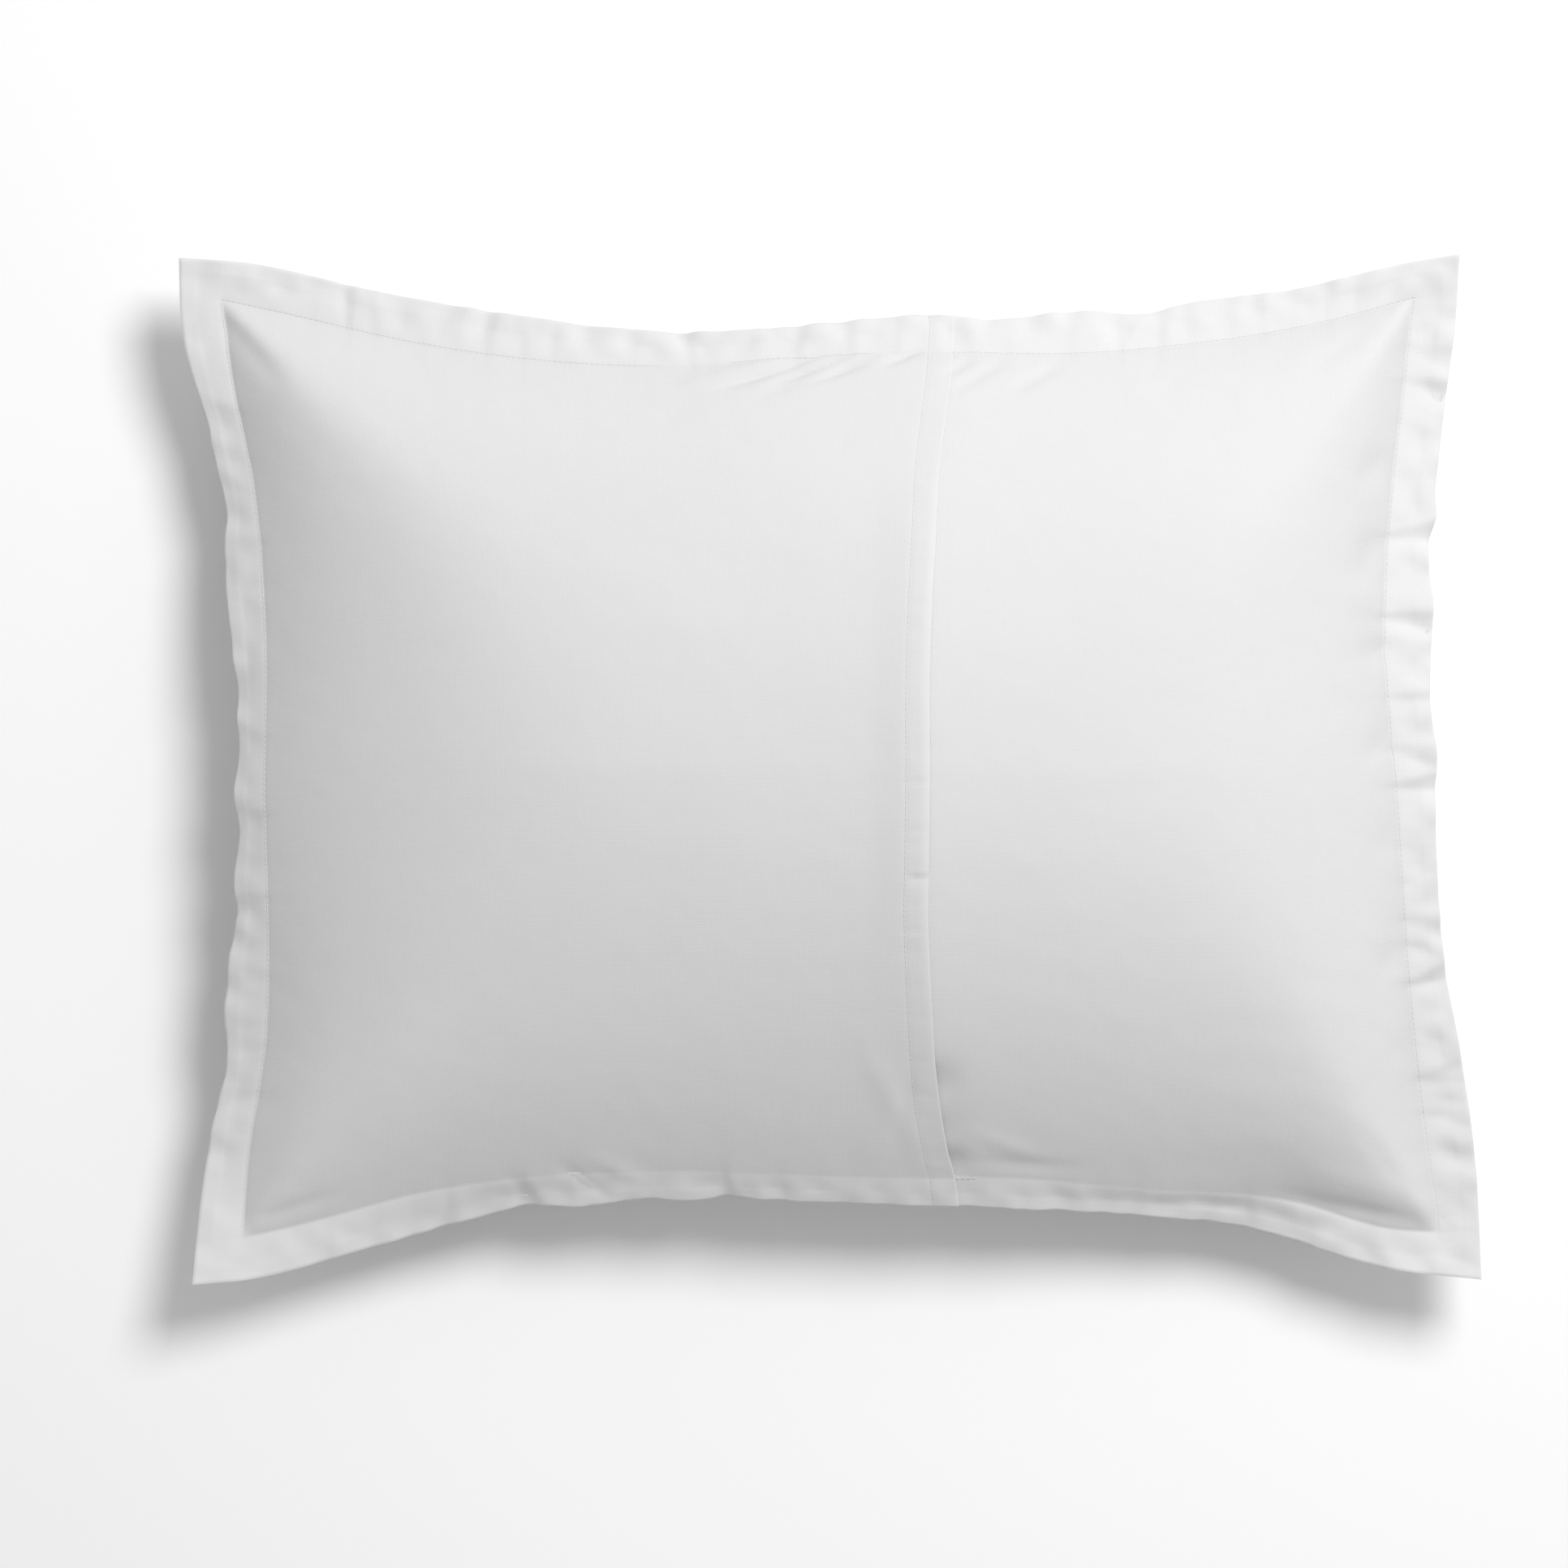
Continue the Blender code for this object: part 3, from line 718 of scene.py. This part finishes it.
def flangeRelief(p, q):
    # the ridge of the raw edges, the dent of the seam and the turned rim, as an offset and a closing share
    out = beyondSeam(p, q)
    ridge = layers["ridge"] * smoothstep((out - edging["ridgeStart"]) / edging["ridgeSlope"])
    dent = layers["groove"] * edging["seamDent"] * hump(out - edging["dentPlace"], edging["dentWidth"])
    pulled = smoothstep((-q - sham["halfWidth"] + 0.004) / 0.004)
    dent, ridge = dent * (1 - edging["calmDent"] * pulled), ridge * (1 - edging["calmRidge"] * pulled)
    return ridge - dent, roundedOver(sham["flange"] - out, edging["rimRound"]), out


def wornEdges(out, away=None):
    # how worn the cloth is, most at the rim of the flange and at a free edge
    wear = hump(sham["flange"] - out, edging["rimWear"])
    return wear if away is None else np.maximum(wear, hump(away, edging["hemWear"]))


def edgeAt(q):
    # p of the free edge of the wide panel at each q, found from a line close to it
    near = 0.052
    across = clothPoints(1, np.array([near]), q)[0]
    return near + (smoothLine(freeEdge)(np.clip(across[:, 1], -mouthEnd, mouthEnd)) - across[:, 0])


def makeFront():
    p = graded(sham["halfLength"], sham["flange"], 0.0034)
    q = graded(sham["halfWidth"], sham["flange"], 0.0030)
    cloth = shapedCloth(-1, p, q)
    relief, rim, out = flangeRelief(cloth[2], cloth[3])
    outer = layers["face"] * rim + np.minimum(relief, 0)
    inner = outer - sham["cloth"] * (0.25 + 0.75 * rim)
    piece = thickSheet("sham_front", -1, cloth, outer, inner, wornEdges(out))
    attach(piece, "pillow")
    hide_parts("front_panel")
    return piece


def panelLines(turn, edge):
    # lines from the left (-1) or right (1) flange to a free edge that may curve, closest over the hem
    back = np.array([0, 0.00012, 0.00035, 0.0007, 0.0014, 0.0026, 0.0042, 0.0060, 0.0080, 0.0100, 0.0120,
                     0.0129, 0.0135, 0.0141, 0.0150, 0.0170, 0.0200])
    length = sham["halfLength"]
    rim = graded(length, sham["flange"], 0.0032)
    rim = rim[np.abs(rim) >= length - 0.009]
    rim = rim[rim * turn > 0]
    rim = rim if turn < 0 else rim[::-1]
    far = edge + turn * back[-1]
    count = int(abs(rim[-1] - far.mean()) / 0.0024)
    middle = rim[-1] + (far[None, :] - rim[-1]) * (np.arange(1, count) / count)[:, None]
    near = edge[None, :] + turn * back[::-1][:, None]
    lines = np.concatenate([np.repeat(rim[:, None], len(edge), 1), middle, near])
    return lines if turn < 0 else lines[::-1]


def hemShape(away, q, seed):
    # at each distance from a free edge: how far the hem is folded under, its dent, its turn and its puckers
    folded = 1 - smoothstep((away - sham["hem"] - 0.0002) / edging["hemStep"])
    dent = layers["groove"] * hump(away - sham["hem"], edging["hemDent"])
    rng = np.random.default_rng(seed)
    ripple = np.zeros(away.shape)
    for place in np.arange(-0.26, 0.26, edging["hemPuckers"]):
        off = q - place - rng.normal() * 0.003
        beside = hump(off, rng.uniform(0.0014, 0.0028))
        ripple += rng.uniform(-0.00022, 0.00016) * beside
    ripple *= hump(away - 0.6 * sham["hem"], 0.006)
    return folded, dent, roundedOver(away, edging["hemRound"]), ripple


lifting = {
    "flap": (-0.125, -0.035),  # x where the bend starts and ends
    "underlap": (0.110, 0.030),
    "level": 0.16,
    "fullHalf": 0.035,  # y up to which the cloth lifts in full
    "endHalf": 0.214,  # y beyond which it stays down
}


def sewnDown(piece):
    # the cloth lifts in the middle of the mouth, and stays where its ends are sewn into the flange
    weights = np.zeros(len(piece.data.vertices), np.float32)
    attribute = piece.data.attributes["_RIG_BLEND"]
    attribute.data.foreach_get("value", weights)
    full, end = lifting["fullHalf"], lifting["endHalf"]
    share = 1 - smoothstep((np.abs(vertexPlaces(piece.data)[:, 1]) - full) / (end - full))
    attribute.data.foreach_set("value", (weights * share).astype(np.float32))


def bendWith(piece, body):
    # follows the pillow before the bend starts and the lifting body after it ends
    start, end = lifting[body]
    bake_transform(piece, "pillow", body, start=(start, 0, lifting["level"]), end=(end, 0, lifting["level"]))
    sewnDown(piece)


widthLines = graded(sham["halfWidth"], sham["flange"], 0.0020)


mouth = {
    "roll": 0.0016,  # how far the hem's edge stands up before it rolls down
    "rollWidth": 0.0052,
    "rollReach": 0.036,  # how far in from the edge the cloth still stands up
    "rollHalf": 0.205,  # y at which the roll ends
    "tuck": (-0.066, 0.0008),  # a small crease across the hem: its place and depth
    "tuckWidth": 0.0011,
    "tuckReach": 0.0125,
    "riseStart": -0.062,  # where the wide panel begins to rise over the underlap, from the underlap's end
    "riseReach": 0.060,
    "hemRise": (0.060, 0.015),  # from the edge, where it begins and has risen over the underlap's hem
    "coverSunk": 0.00012,  # how far the flap presses the narrow panel down
    "dents": [  # place, depth and spread of each hollow beside the free edge
        ((0.0565, -0.169), 0.0026, 0.0120), ((0.0600, -0.193), 0.0016, 0.011),
        ((0.0660, -0.2125), 0.0025, 0.0078),
    ],
}


def flapRoll(away, q):
    # the hem stands up a little and rolls down at its edge, less so towards the bottom of the mouth
    share = smoothstep((mouth["rollHalf"] - np.abs(q)) / 0.10) * (0.45 + 0.55 * smoothstep((q + 0.13) / 0.10))
    rise = 1 - (1 - np.clip(away / mouth["rollWidth"], 0, 1)) ** 2
    rise = smoothstep((mouth["rollReach"] - away) / 0.026) * rise
    place, depth = mouth["tuck"]
    s = (place - q) / mouth["tuckWidth"]
    tuck = depth * smoothstep((s + 1) / 2) * np.exp(-np.maximum(s, 0) / 6)
    return mouth["roll"] * rise * share - tuck * smoothstep((mouth["tuckReach"] - away) / 0.004)


def makeWidePanel():
    q = widthLines
    edge = edgeAt(q)
    p = panelLines(-1, edge)
    cloth = shapedCloth(1, p, q)
    points, normal, flatP, flatQ = cloth
    away = edge[None, :] - flatP
    relief, rim, out = flangeRelief(flatP, flatQ)
    folded, dent, turn, ripple = hemShape(away, flatQ, 21)
    over = flatP - sham["underlapEnd"] - mouth["riseStart"]
    lift = layers["overlapLift"] * smoothstep(over / mouth["riseReach"])
    hem, thick = layers["hemThickness"] * folded, sham["cloth"]
    start, risen = mouth["hemRise"]
    lift = lift + layers["hemThickness"] * smoothstep((start - away) / (start - risen))
    half = (thick + hem) / 2
    middle = layers["narrow"] + lift + thick - half
    roll = flapRoll(away, flatQ)
    outer = (middle + half * turn + relief + ripple - dent + roll) * rim
    inner = np.minimum(middle - half * turn + roll, outer - layers["thinnest"])
    piece = thickSheet("wide_back_panel_cloth", 1, cloth, outer, inner * rim, wornEdges(out, away))
    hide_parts("wide_back_panel", "back_flap", "back_flap_hem")
    bendWith(piece, "flap")
    whole = np.full(len(q), True)
    row = makeHemStitches("back_flap_stitching", cloth, outer, away, whole, "back_flap_hem_stitch", "flap")
    return piece, row


def evenRow(line, normals, pitch, trim=0.0):
    # places, ways and normals at an even pitch along a line of points
    gaps = np.linalg.norm(np.diff(line, axis=0), axis=1)
    along = np.concatenate([[0], np.cumsum(gaps)])
    at = np.arange(trim, along[-1] - trim, pitch) + pitch / 2
    at = at[at < along[-1] - trim]

    def readAt(values, shift=0.0):
        return np.stack([np.interp(at + shift, along, values[:, c]) for c in range(3)], -1)

    ways = unit(readAt(line, 0.001) - readAt(line, -0.001))
    up = readAt(normals)
    return readAt(line), ways, unit(up - ways * (up * ways).sum(1, keepdims=True))


def makeHemStitches(name, cloth, outer, away, keep, node, body):
    # a row along the grid line nearest to the hem's inner edge, standing a little out of the cloth
    points, normal = cloth[:2]
    row = int(np.argmin(np.abs(away[:, away.shape[1] // 2] - sham["hem"])))
    line = (points + normal * outer[..., None])[row][keep]
    places, ways, up = evenRow(line, normal[row][keep], stitch["pitch"], trim=0.0006)
    piece = stitchRow(name, places + up * stitch["radius"] * 0.35, ways, up)
    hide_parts(node)
    bendWith(piece, body)
    return piece


def makeNarrowPanel():
    q = widthLines
    edge = np.full(len(q), sham["underlapEnd"])
    p = panelLines(1, edge)
    cloth = shapedCloth(1, p, q)
    points, normal, flatP, flatQ = cloth
    away = flatP - edge[None, :]
    relief, rim, out = flangeRelief(flatP, flatQ)
    folded, dent, turn, ripple = hemShape(away, flatQ, 22)
    covered = smoothstep((edgeAt(q)[None, :] + 0.001 - flatP) / 0.002)
    hem, thick = layers["hemThickness"] * folded, sham["cloth"]
    half = (thick + hem) / 2
    middle = layers["narrow"] + thick - half - covered * mouth["coverSunk"]
    outer = (middle + half * turn + np.where(relief > 0, relief * (1 - covered), relief)) * rim
    outer = outer + (ripple - dent) * folded * rim
    dip = np.zeros(outer.shape)
    for (x, y), depth, spread in mouth["dents"]:
        off = ((points[..., 0] - x) ** 2 + (points[..., 1] - y) ** 2) / spread**2
        dip -= depth * np.exp(-off)
    outer, middle = outer + dip, middle + dip
    inner = np.minimum(middle - half * turn, outer - layers["thinnest"])
    piece = thickSheet("narrow_back_panel_cloth", 1, cloth, outer, inner * rim, wornEdges(out, away))
    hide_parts("narrow_back_panel", "underlap", "underlap_hem")
    bendWith(piece, "underlap")
    inside = np.abs(q) < sham["halfWidth"] - 0.004
    row = makeHemStitches("underlap_stitching", cloth, outer, away, inside, "underlap_hem_stitch", "underlap")
    return piece, row


def makeFlangeStitches(side, name, node):
    # the row of stitches just outside the seam, round all four sides, each read from three lines of cloth
    length, width = sham["halfLength"] + stitch["outside"], sham["halfWidth"] + stitch["outside"]
    along, across = np.linspace(-length, length, 400), np.linspace(-width, width, 320)
    beside = np.array([-0.0005, 0, 0.0005])
    sides = [[part[:, 1] for part in shapedCloth(side, along, end * width + beside)] for end in (-1, 1)]
    sides += [[part[1] for part in shapedCloth(side, end * length + beside, across)] for end in (-1, 1)]
    edge = float(edgeAt(np.array([0.0]))[0]) + 0.018
    found = []
    for points, normal, flatP, _ in sides:
        height = np.full(flatP.shape, layers["face"] - layers["groove"] * 1.5)
        if side == 1:
            height = height + layers["overlapLift"] * ((flatP < edge) & (flatP > sham["underlapEnd"]))
        height = height - stitch["sunk"] * (points[:, 1] < stitch["sunkFrom"])
        found.append(evenRow(points + normal * height[:, None], normal, stitch["pitch"]))
    places, ways, up = (np.concatenate(part) for part in zip(*found))
    piece = stitchRow(name, places + up * stitch["radius"] * 0.6, ways, up)
    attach(piece, "pillow")
    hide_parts(node)
    return piece


def makeAllowance():
    # the raw edges, trimmed and turned in, as four strips in one ring between the sides of the flange
    length, width, flange = sham["halfLength"], sham["halfWidth"], sham["flange"]
    start, end, thick = 0.0165, 0.0248, 0.00012
    p, q = graded(length, flange, 0.008), graded(width, flange, 0.008)
    points, normal, flatP, flatQ = shapedCloth(1, p, q)
    out = beyondSeam(flatP, flatQ)
    keep = (out > start) & (out < end)
    cells = quads(np.arange(p.size * q.size).reshape(p.size, q.size))
    cells = cells[keep.ravel()[cells].all(1)]
    used, cells = np.unique(cells, return_inverse=True)
    cells = cells.reshape(-1, 4)
    base, up = points.reshape(-1, 3)[used], normal.reshape(-1, 3)[used]
    edges = np.concatenate([cells[:, [0, 1]], cells[:, [1, 2]], cells[:, [2, 3]], cells[:, [3, 0]]])
    once = {tuple(edge) for edge in edges.tolist()}
    border = np.array([edge for edge in edges.tolist() if (edge[1], edge[0]) not in once])
    wall = np.stack([border[:, 1], border[:, 0], border[:, 0] + len(used), border[:, 1] + len(used)], -1)
    faces = np.concatenate([cells, cells[:, ::-1] + len(used), wall])
    piece = addPiece("turned_in_edges", np.concatenate([base + up * thick, base - up * thick]), faces)
    flat = np.stack([flatP.ravel()[used], flatQ.ravel()[used], 0 * base[:, 0]], -1)
    keepOnPoints(piece, "clothPlace", "FLOAT_VECTOR", np.concatenate([flat, flat]))
    keepOnPoints(piece, "wear", "FLOAT", np.ones(2 * len(used)))
    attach(piece, "pillow")
    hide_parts("seam_allowance")
    return piece


insert = {
    "share": 0.955,  # of the sham's flat size
    "swell": 0.055,  # how far in from its edge it reaches its full depth
    "clear": 0.935,  # share of the sham's depth, so that it stays clear
    "fillShare": 0.985,
    "ticking": 0.00030,
    "piping": 0.0021,
    "pipingSides": 12,
}


def insertSurface(side, share, depth):
    # one side of the insert: the sham's own surface, drawn in, and closing at its edge
    p = np.linspace(-1, 1, 84) * sham["halfLength"] * share
    q = np.linspace(-1, 1, 64) * sham["halfWidth"] * share
    faces = {k: clothPoints(k, p, q) for k in (1, -1)}
    middle = (faces[1] + faces[-1]) / 2
    edgeX, edgeY = sham["halfLength"] * share - np.abs(p), sham["halfWidth"] * share - np.abs(q)
    away = np.minimum(edgeX[:, None], edgeY[None, :])
    opened = roundedOver(away, insert["swell"])
    points = middle + (faces[side] - middle) * (insert["clear"] * opened)[..., None]
    normal = normalsOf(points) * side
    flatP, flatQ = np.repeat(p[:, None], len(q), 1), np.repeat(q[None, :], len(p), 0)
    return points - normal * (depth * opened)[..., None], normal, flatP, flatQ


def makeTicking(side, name, node):
    cloth = insertSurface(side, insert["share"], 0.0)
    half = np.full(cloth[2].shape, insert["ticking"] / 2)
    piece = thickSheet(name, side, cloth, half + 0.00002, 0.00006 - half, 0 * half)
    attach(piece, "pillow")
    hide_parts(node)
    return piece


def makeFill():
    upper, lower = (insertSurface(side, insert["share"] * insert["fillShare"], 0.0012) for side in (1, -1))
    number = np.arange(upper[2].size).reshape(upper[2].shape)
    below = number.copy()
    inside = np.zeros(number.shape, bool)
    inside[1:-1, 1:-1] = True
    below[inside] = number.size + np.arange(inside.sum())
    verts = np.concatenate([upper[0].reshape(-1, 3), lower[0][inside]])
    piece = addPiece("fibre_fill", verts, np.concatenate([quads(number), quads(below)[:, ::-1]]), "pillow")
    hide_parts("fill")
    return piece


def makePiping():
    # a cord round the edge of the insert, on a ring of points with turned corners
    share = insert["share"] + 0.011
    ring = edgeRing(insertSurface(1, share, 0.0)[0])
    for _ in range(6):
        ring = (np.roll(ring, 1, 0) + 2 * ring + np.roll(ring, -1, 0)) / 4
    ways = np.roll(ring, -1, 0) - np.roll(ring, 1, 0)
    beside = unit(np.cross(ways, [0, 0, 1]))
    up = unit(np.cross(beside, ways))
    sides = insert["pipingSides"]
    turns = 2 * pi * np.arange(sides) / sides
    circle = np.cos(turns)[:, None] * beside[:, None] + np.sin(turns)[:, None] * up[:, None]
    cord = ring[:, None] + insert["piping"] * circle
    number = np.arange(len(ring) * sides).reshape(-1, sides)
    ahead, turned = np.roll(number, -1, 0), np.roll(number, -1, 1)
    faces = np.stack([number, ahead, np.roll(ahead, -1, 1), turned], -1).reshape(-1, 4)
    piece = addPiece("insert_piping", cord, faces)
    flip(piece)
    along = np.concatenate([[0], np.cumsum(np.linalg.norm(np.diff(ring, axis=0), axis=1))])
    flat = np.stack(np.broadcast_arrays(along[:, None], insert["piping"] * turns, 0), -1)
    keepOnPoints(piece, "clothPlace", "FLOAT_VECTOR", flat)
    keepOnPoints(piece, "wear", "FLOAT", np.zeros(number.size))
    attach(piece, "pillow")
    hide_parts("ticking_piping")
    return piece


def makeClosingStitches():
    # slanting hand stitches over the gap the insert was filled through
    points, normal = insertSurface(1, insert["share"], 0.0)[:2]
    near = np.abs(points[-2, :, 1]) < stitch["handHalf"]
    line, up = points[-2, near], normal[-2, near]
    places, ways, up = evenRow(line + up * 0.0004, up, stitch["handPitch"])
    piece = stitchRow("closing_stitches", places, unit(ways + 0.8 * np.cross(up, ways)), up)
    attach(piece, "pillow")
    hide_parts("ticking_closing_stitch")
    return piece


# Materials

class Wire:
    # one output socket, with the arithmetic that the shaders below are written in
    def __init__(self, tree, socket):
        self.tree, self.socket = tree, socket

    def math(self, operation, first, second):
        node = self.tree.nodes.new("ShaderNodeMath")
        node.operation = operation
        feed(self.tree, node.inputs[0], first)
        feed(self.tree, node.inputs[1], second)
        return Wire(self.tree, node.outputs[0])

    def __add__(self, other):
        return self.math("ADD", self, other)

    def __radd__(self, other):
        return self.math("ADD", other, self)

    def __sub__(self, other):
        return self.math("SUBTRACT", self, other)

    def __rsub__(self, other):
        return self.math("SUBTRACT", other, self)

    def __mul__(self, other):
        return self.math("MULTIPLY", self, other)

    def __rmul__(self, other):
        return self.math("MULTIPLY", other, self)


def feed(tree, socket, value):
    if isinstance(value, Wire):
        tree.links.new(value.socket, socket)
    else:
        socket.default_value = value


class Surface:
    # a material with its one shader
    def __init__(self, name, roughness, sheen, tint):
        self.material = bpy.data.materials.new(name)
        self.material.use_nodes = True
        self.tree = self.material.node_tree
        self.shader = self.tree.nodes["Principled BSDF"]
        self.set("Roughness", roughness)
        self.set("Sheen Weight", sheen)
        self.set("Sheen Roughness", 0.45)
        self.set("Specular IOR Level", 0.25)
        self.set("Base Color", (*tint, 1))

    def set(self, name, value):
        feed(self.tree, self.shader.inputs[name], value)

    def node(self, kind, settings, output=0, **values):
        # settings first, then a value or a wire for each socket, by its name or as input0, input1 and so on
        node = self.tree.nodes.new("ShaderNode" + kind)
        for name, value in settings.items():
            setattr(node, name, value)
        for name, value in values.items():
            numbered = name.startswith("input")
            feed(self.tree, node.inputs[int(name[5:]) if numbered else name], value)
        return Wire(self.tree, node.outputs[output])

    def noise(self, place, scale, **values):
        return self.node("TexNoise", {"noise_dimensions": "3D"}, Vector=place, Scale=scale, **values)

    def shades(self, share, tint, darkest, palest):
        # a mix of two shades of one tint
        dark, pale = ((*[c * level for c in tint], 1) for level in (darkest, palest))
        settings = {"data_type": "RGBA", "blend_type": "MIX"}
        return self.node("Mix", settings, output=2, input0=share, input6=dark, input7=pale)

    def bump(self, strength, height):
        self.set("Normal", self.node("Bump", {}, Strength=strength, Distance=1.0, Height=height))


def wovenCotton(name, finish):
    # plain weave along the cloth's own grain, with slubs, soft creasing and worn folds
    surface = Surface(name, finish["roughness"], finish["sheen"], finish["tint"])
    place = surface.node("Attribute", {"attribute_name": "clothPlace"}, output=1)
    wear = surface.node("Attribute", {"attribute_name": "wear"}, output=2)
    doubled = surface.node("Attribute", {"attribute_name": "doubled"}, output=2)
    slubs, weave = [], []
    for stretched, direction in (((14.0, 0.9, 1.0), "X"), ((0.9, 14.0, 1.0), "Y")):
        moved = surface.node("VectorMath", {"operation": "MULTIPLY"}, input0=place, input1=stretched)
        slubs.append(surface.noise(moved, finish["slub"], Detail=3.0, Roughness=0.65))
        weave.append(surface.node("TexWave", {"wave_type": "BANDS", "bands_direction": direction}, output=1,
                                  Vector=place, Scale=finish["threads"], Distortion=0.35, Detail=1.0,
                                  input4=2.0))
    slubs, weave = slubs[0] * 0.5 + slubs[1] * 0.5, weave[0] * weave[1]
    cloudy = surface.noise(place, 9.0, Detail=4.0, Roughness=0.55)
    creased = surface.noise(place, 60.0, Detail=5.0, Roughness=0.6)
    shade = slubs * 0.40 + cloudy * 0.30 + weave * 0.12 + wear * 0.15 + doubled * finish["doubled"]
    surface.set("Base Color", surface.shades(shade, finish["tint"], finish["darkest"], finish["palest"]))
    surface.set("Roughness", finish["roughness"] + 0.10 * slubs - 0.06 * wear)
    height = weave * finish["weaveDepth"] + slubs * finish["slubDepth"] + creased * finish["creaseDepth"]
    surface.bump(1.0, height)
    return surface.material


def spunThread(name, tint):
    # two plies twisted together, seen as slanting bands
    surface = Surface(name, 0.62, 0.15, tint)
    place = surface.node("TexCoord", {}, output=3)
    twist = surface.node("TexWave", {"wave_type": "BANDS", "bands_direction": "DIAGONAL"}, output=1,
                         Vector=place, Scale=900.0, Distortion=0.8)
    fuzz = surface.noise(place, 700.0, Detail=3.0)
    surface.set("Base Color", surface.shades(twist * 0.7 + fuzz * 0.3, tint, 0.90, 1.0))
    surface.set("Roughness", 0.55 + 0.2 * fuzz)
    surface.bump(0.8, twist * 0.00005)
    return surface.material


def fluffyFibre(name, tint):
    # crimped fibre: tangled fine noise with deep soft clumps
    surface = Surface(name, 0.95, 0.45, tint)
    place = surface.node("TexCoord", {}, output=3)
    tangle = surface.noise(place, 420.0, Detail=8.0, Roughness=0.75, Distortion=2.5)
    clump = surface.noise(place, 38.0, Detail=4.0)
    surface.set("Base Color", surface.shades(tangle * 0.6 + clump * 0.4, tint, 0.86, 1.0))
    surface.bump(1.0, tangle * 0.0012 + clump * 0.004)
    return surface.material


shamFinish = {
    "tint": (0.70, 0.70, 0.70),
    "darkest": 0.94,
    "palest": 1.065,
    "doubled": 0.32,  # how much paler the cloth is where it lies double
    "roughness": 0.78,
    "sheen": 0.10,
    "slub": 55.0,
    "threads": 380.0,
    "weaveDepth": 0.00004,
    "slubDepth": 0.00010,
    "creaseDepth": 0.00012,
}
tickingFinish = {
    "tint": (0.78, 0.77, 0.74),
    "darkest": 0.92,
    "palest": 1.0,
    "doubled": 0.0,
    "roughness": 0.82,
    "sheen": 0.15,
    "slub": 40.0,
    "threads": 300.0,
    "weaveDepth": 0.00006,
    "slubDepth": 0.00014,
    "creaseDepth": 0.0004,
}
pipingFinish = dict(tickingFinish, tint=(0.80, 0.79, 0.76), threads=420.0)


def dress(pieces, material):
    for piece in pieces:
        piece.data.materials.clear()
        piece.data.materials.append(material)


# Stage

lights = {"fill": 0.455, "keySize": 1.32, "keyPower": 68, "keyPlace": (1.06, 1.37, 2.50)}
view = {"middle": (-0.0253, -0.0084), "width": 0.8512, "level": 0.065, "height": 3.6}


def makeStage():
    floor = addPiece("floor", [(-8, -8, 0), (8, -8, 0), (8, 8, 0), (-8, 8, 0)], [(0, 1, 2, 3)])
    dress([floor], Surface("pale_floor", 0.9, 0.0, (0.98, 0.98, 0.98)).material)

    world = bpy.data.worlds.new("studio")
    bpy.context.scene.world = world
    world.use_nodes = True
    sky = world.node_tree.nodes["Background"]
    sky.inputs["Color"].default_value = (1, 1, 1, 1)
    sky.inputs["Strength"].default_value = lights["fill"]

    key = bpy.data.lights.new("key", "AREA")
    key.shape = "DISK"
    key.size, key.energy = lights["keySize"], lights["keyPower"]
    lamp = newObject("key", key)
    lamp.location = lights["keyPlace"]
    aim(lamp, (0, 0, 0.05))

    eye = bpy.data.cameras.new("camera")
    camera = newObject("camera", eye)
    eye.sensor_width = 36
    eye.lens = 36 * (view["height"] - view["level"]) / view["width"]
    eye.clip_end = 60
    camera.location = (*view["middle"], view["height"])
    bpy.context.scene.camera = camera
    bpy.context.scene.view_settings.view_transform = "Standard"


def aim(thing, target):
    way = Vector(target) - thing.location
    thing.rotation_euler = way.to_track_quat("-Z", "Y").to_euler()


def main():
    shamCotton = wovenCotton("sham_cotton", shamFinish)
    tickingCotton = wovenCotton("ticking_cotton", tickingFinish)
    pipingCotton = wovenCotton("piping_cotton", pipingFinish)
    thread = spunThread("sewing_thread", (0.76, 0.76, 0.755))
    fibre = fluffyFibre("polyester_fibre", (0.86, 0.86, 0.86))
    front = makeFront()
    (wide, flapRow), (narrow, underlapRow) = makeWidePanel(), makeNarrowPanel()
    panels = [front, wide, narrow, makeAllowance()]
    print("sham panels and hems made")
    seams = [makeFlangeStitches(1, "flange_stitching_back", "flange_stitch_back"),
             makeFlangeStitches(-1, "flange_stitching_face", "flange_stitch_face"), flapRow, underlapRow]
    print("seams stitched")
    ticking = [makeTicking(1, "ticking_upper", "ticking_back"),
               makeTicking(-1, "ticking_lower", "ticking_face")]
    piping, filling, closing = makePiping(), makeFill(), makeClosingStitches()
    print("insert made")
    dress(panels, shamCotton)
    dress(seams + [closing], thread)
    dress(ticking, tickingCotton)
    dress([piping], pipingCotton)
    dress([filling], fibre)
    makeStage()
    print("cloth dressed, floor, light and camera set")


main()
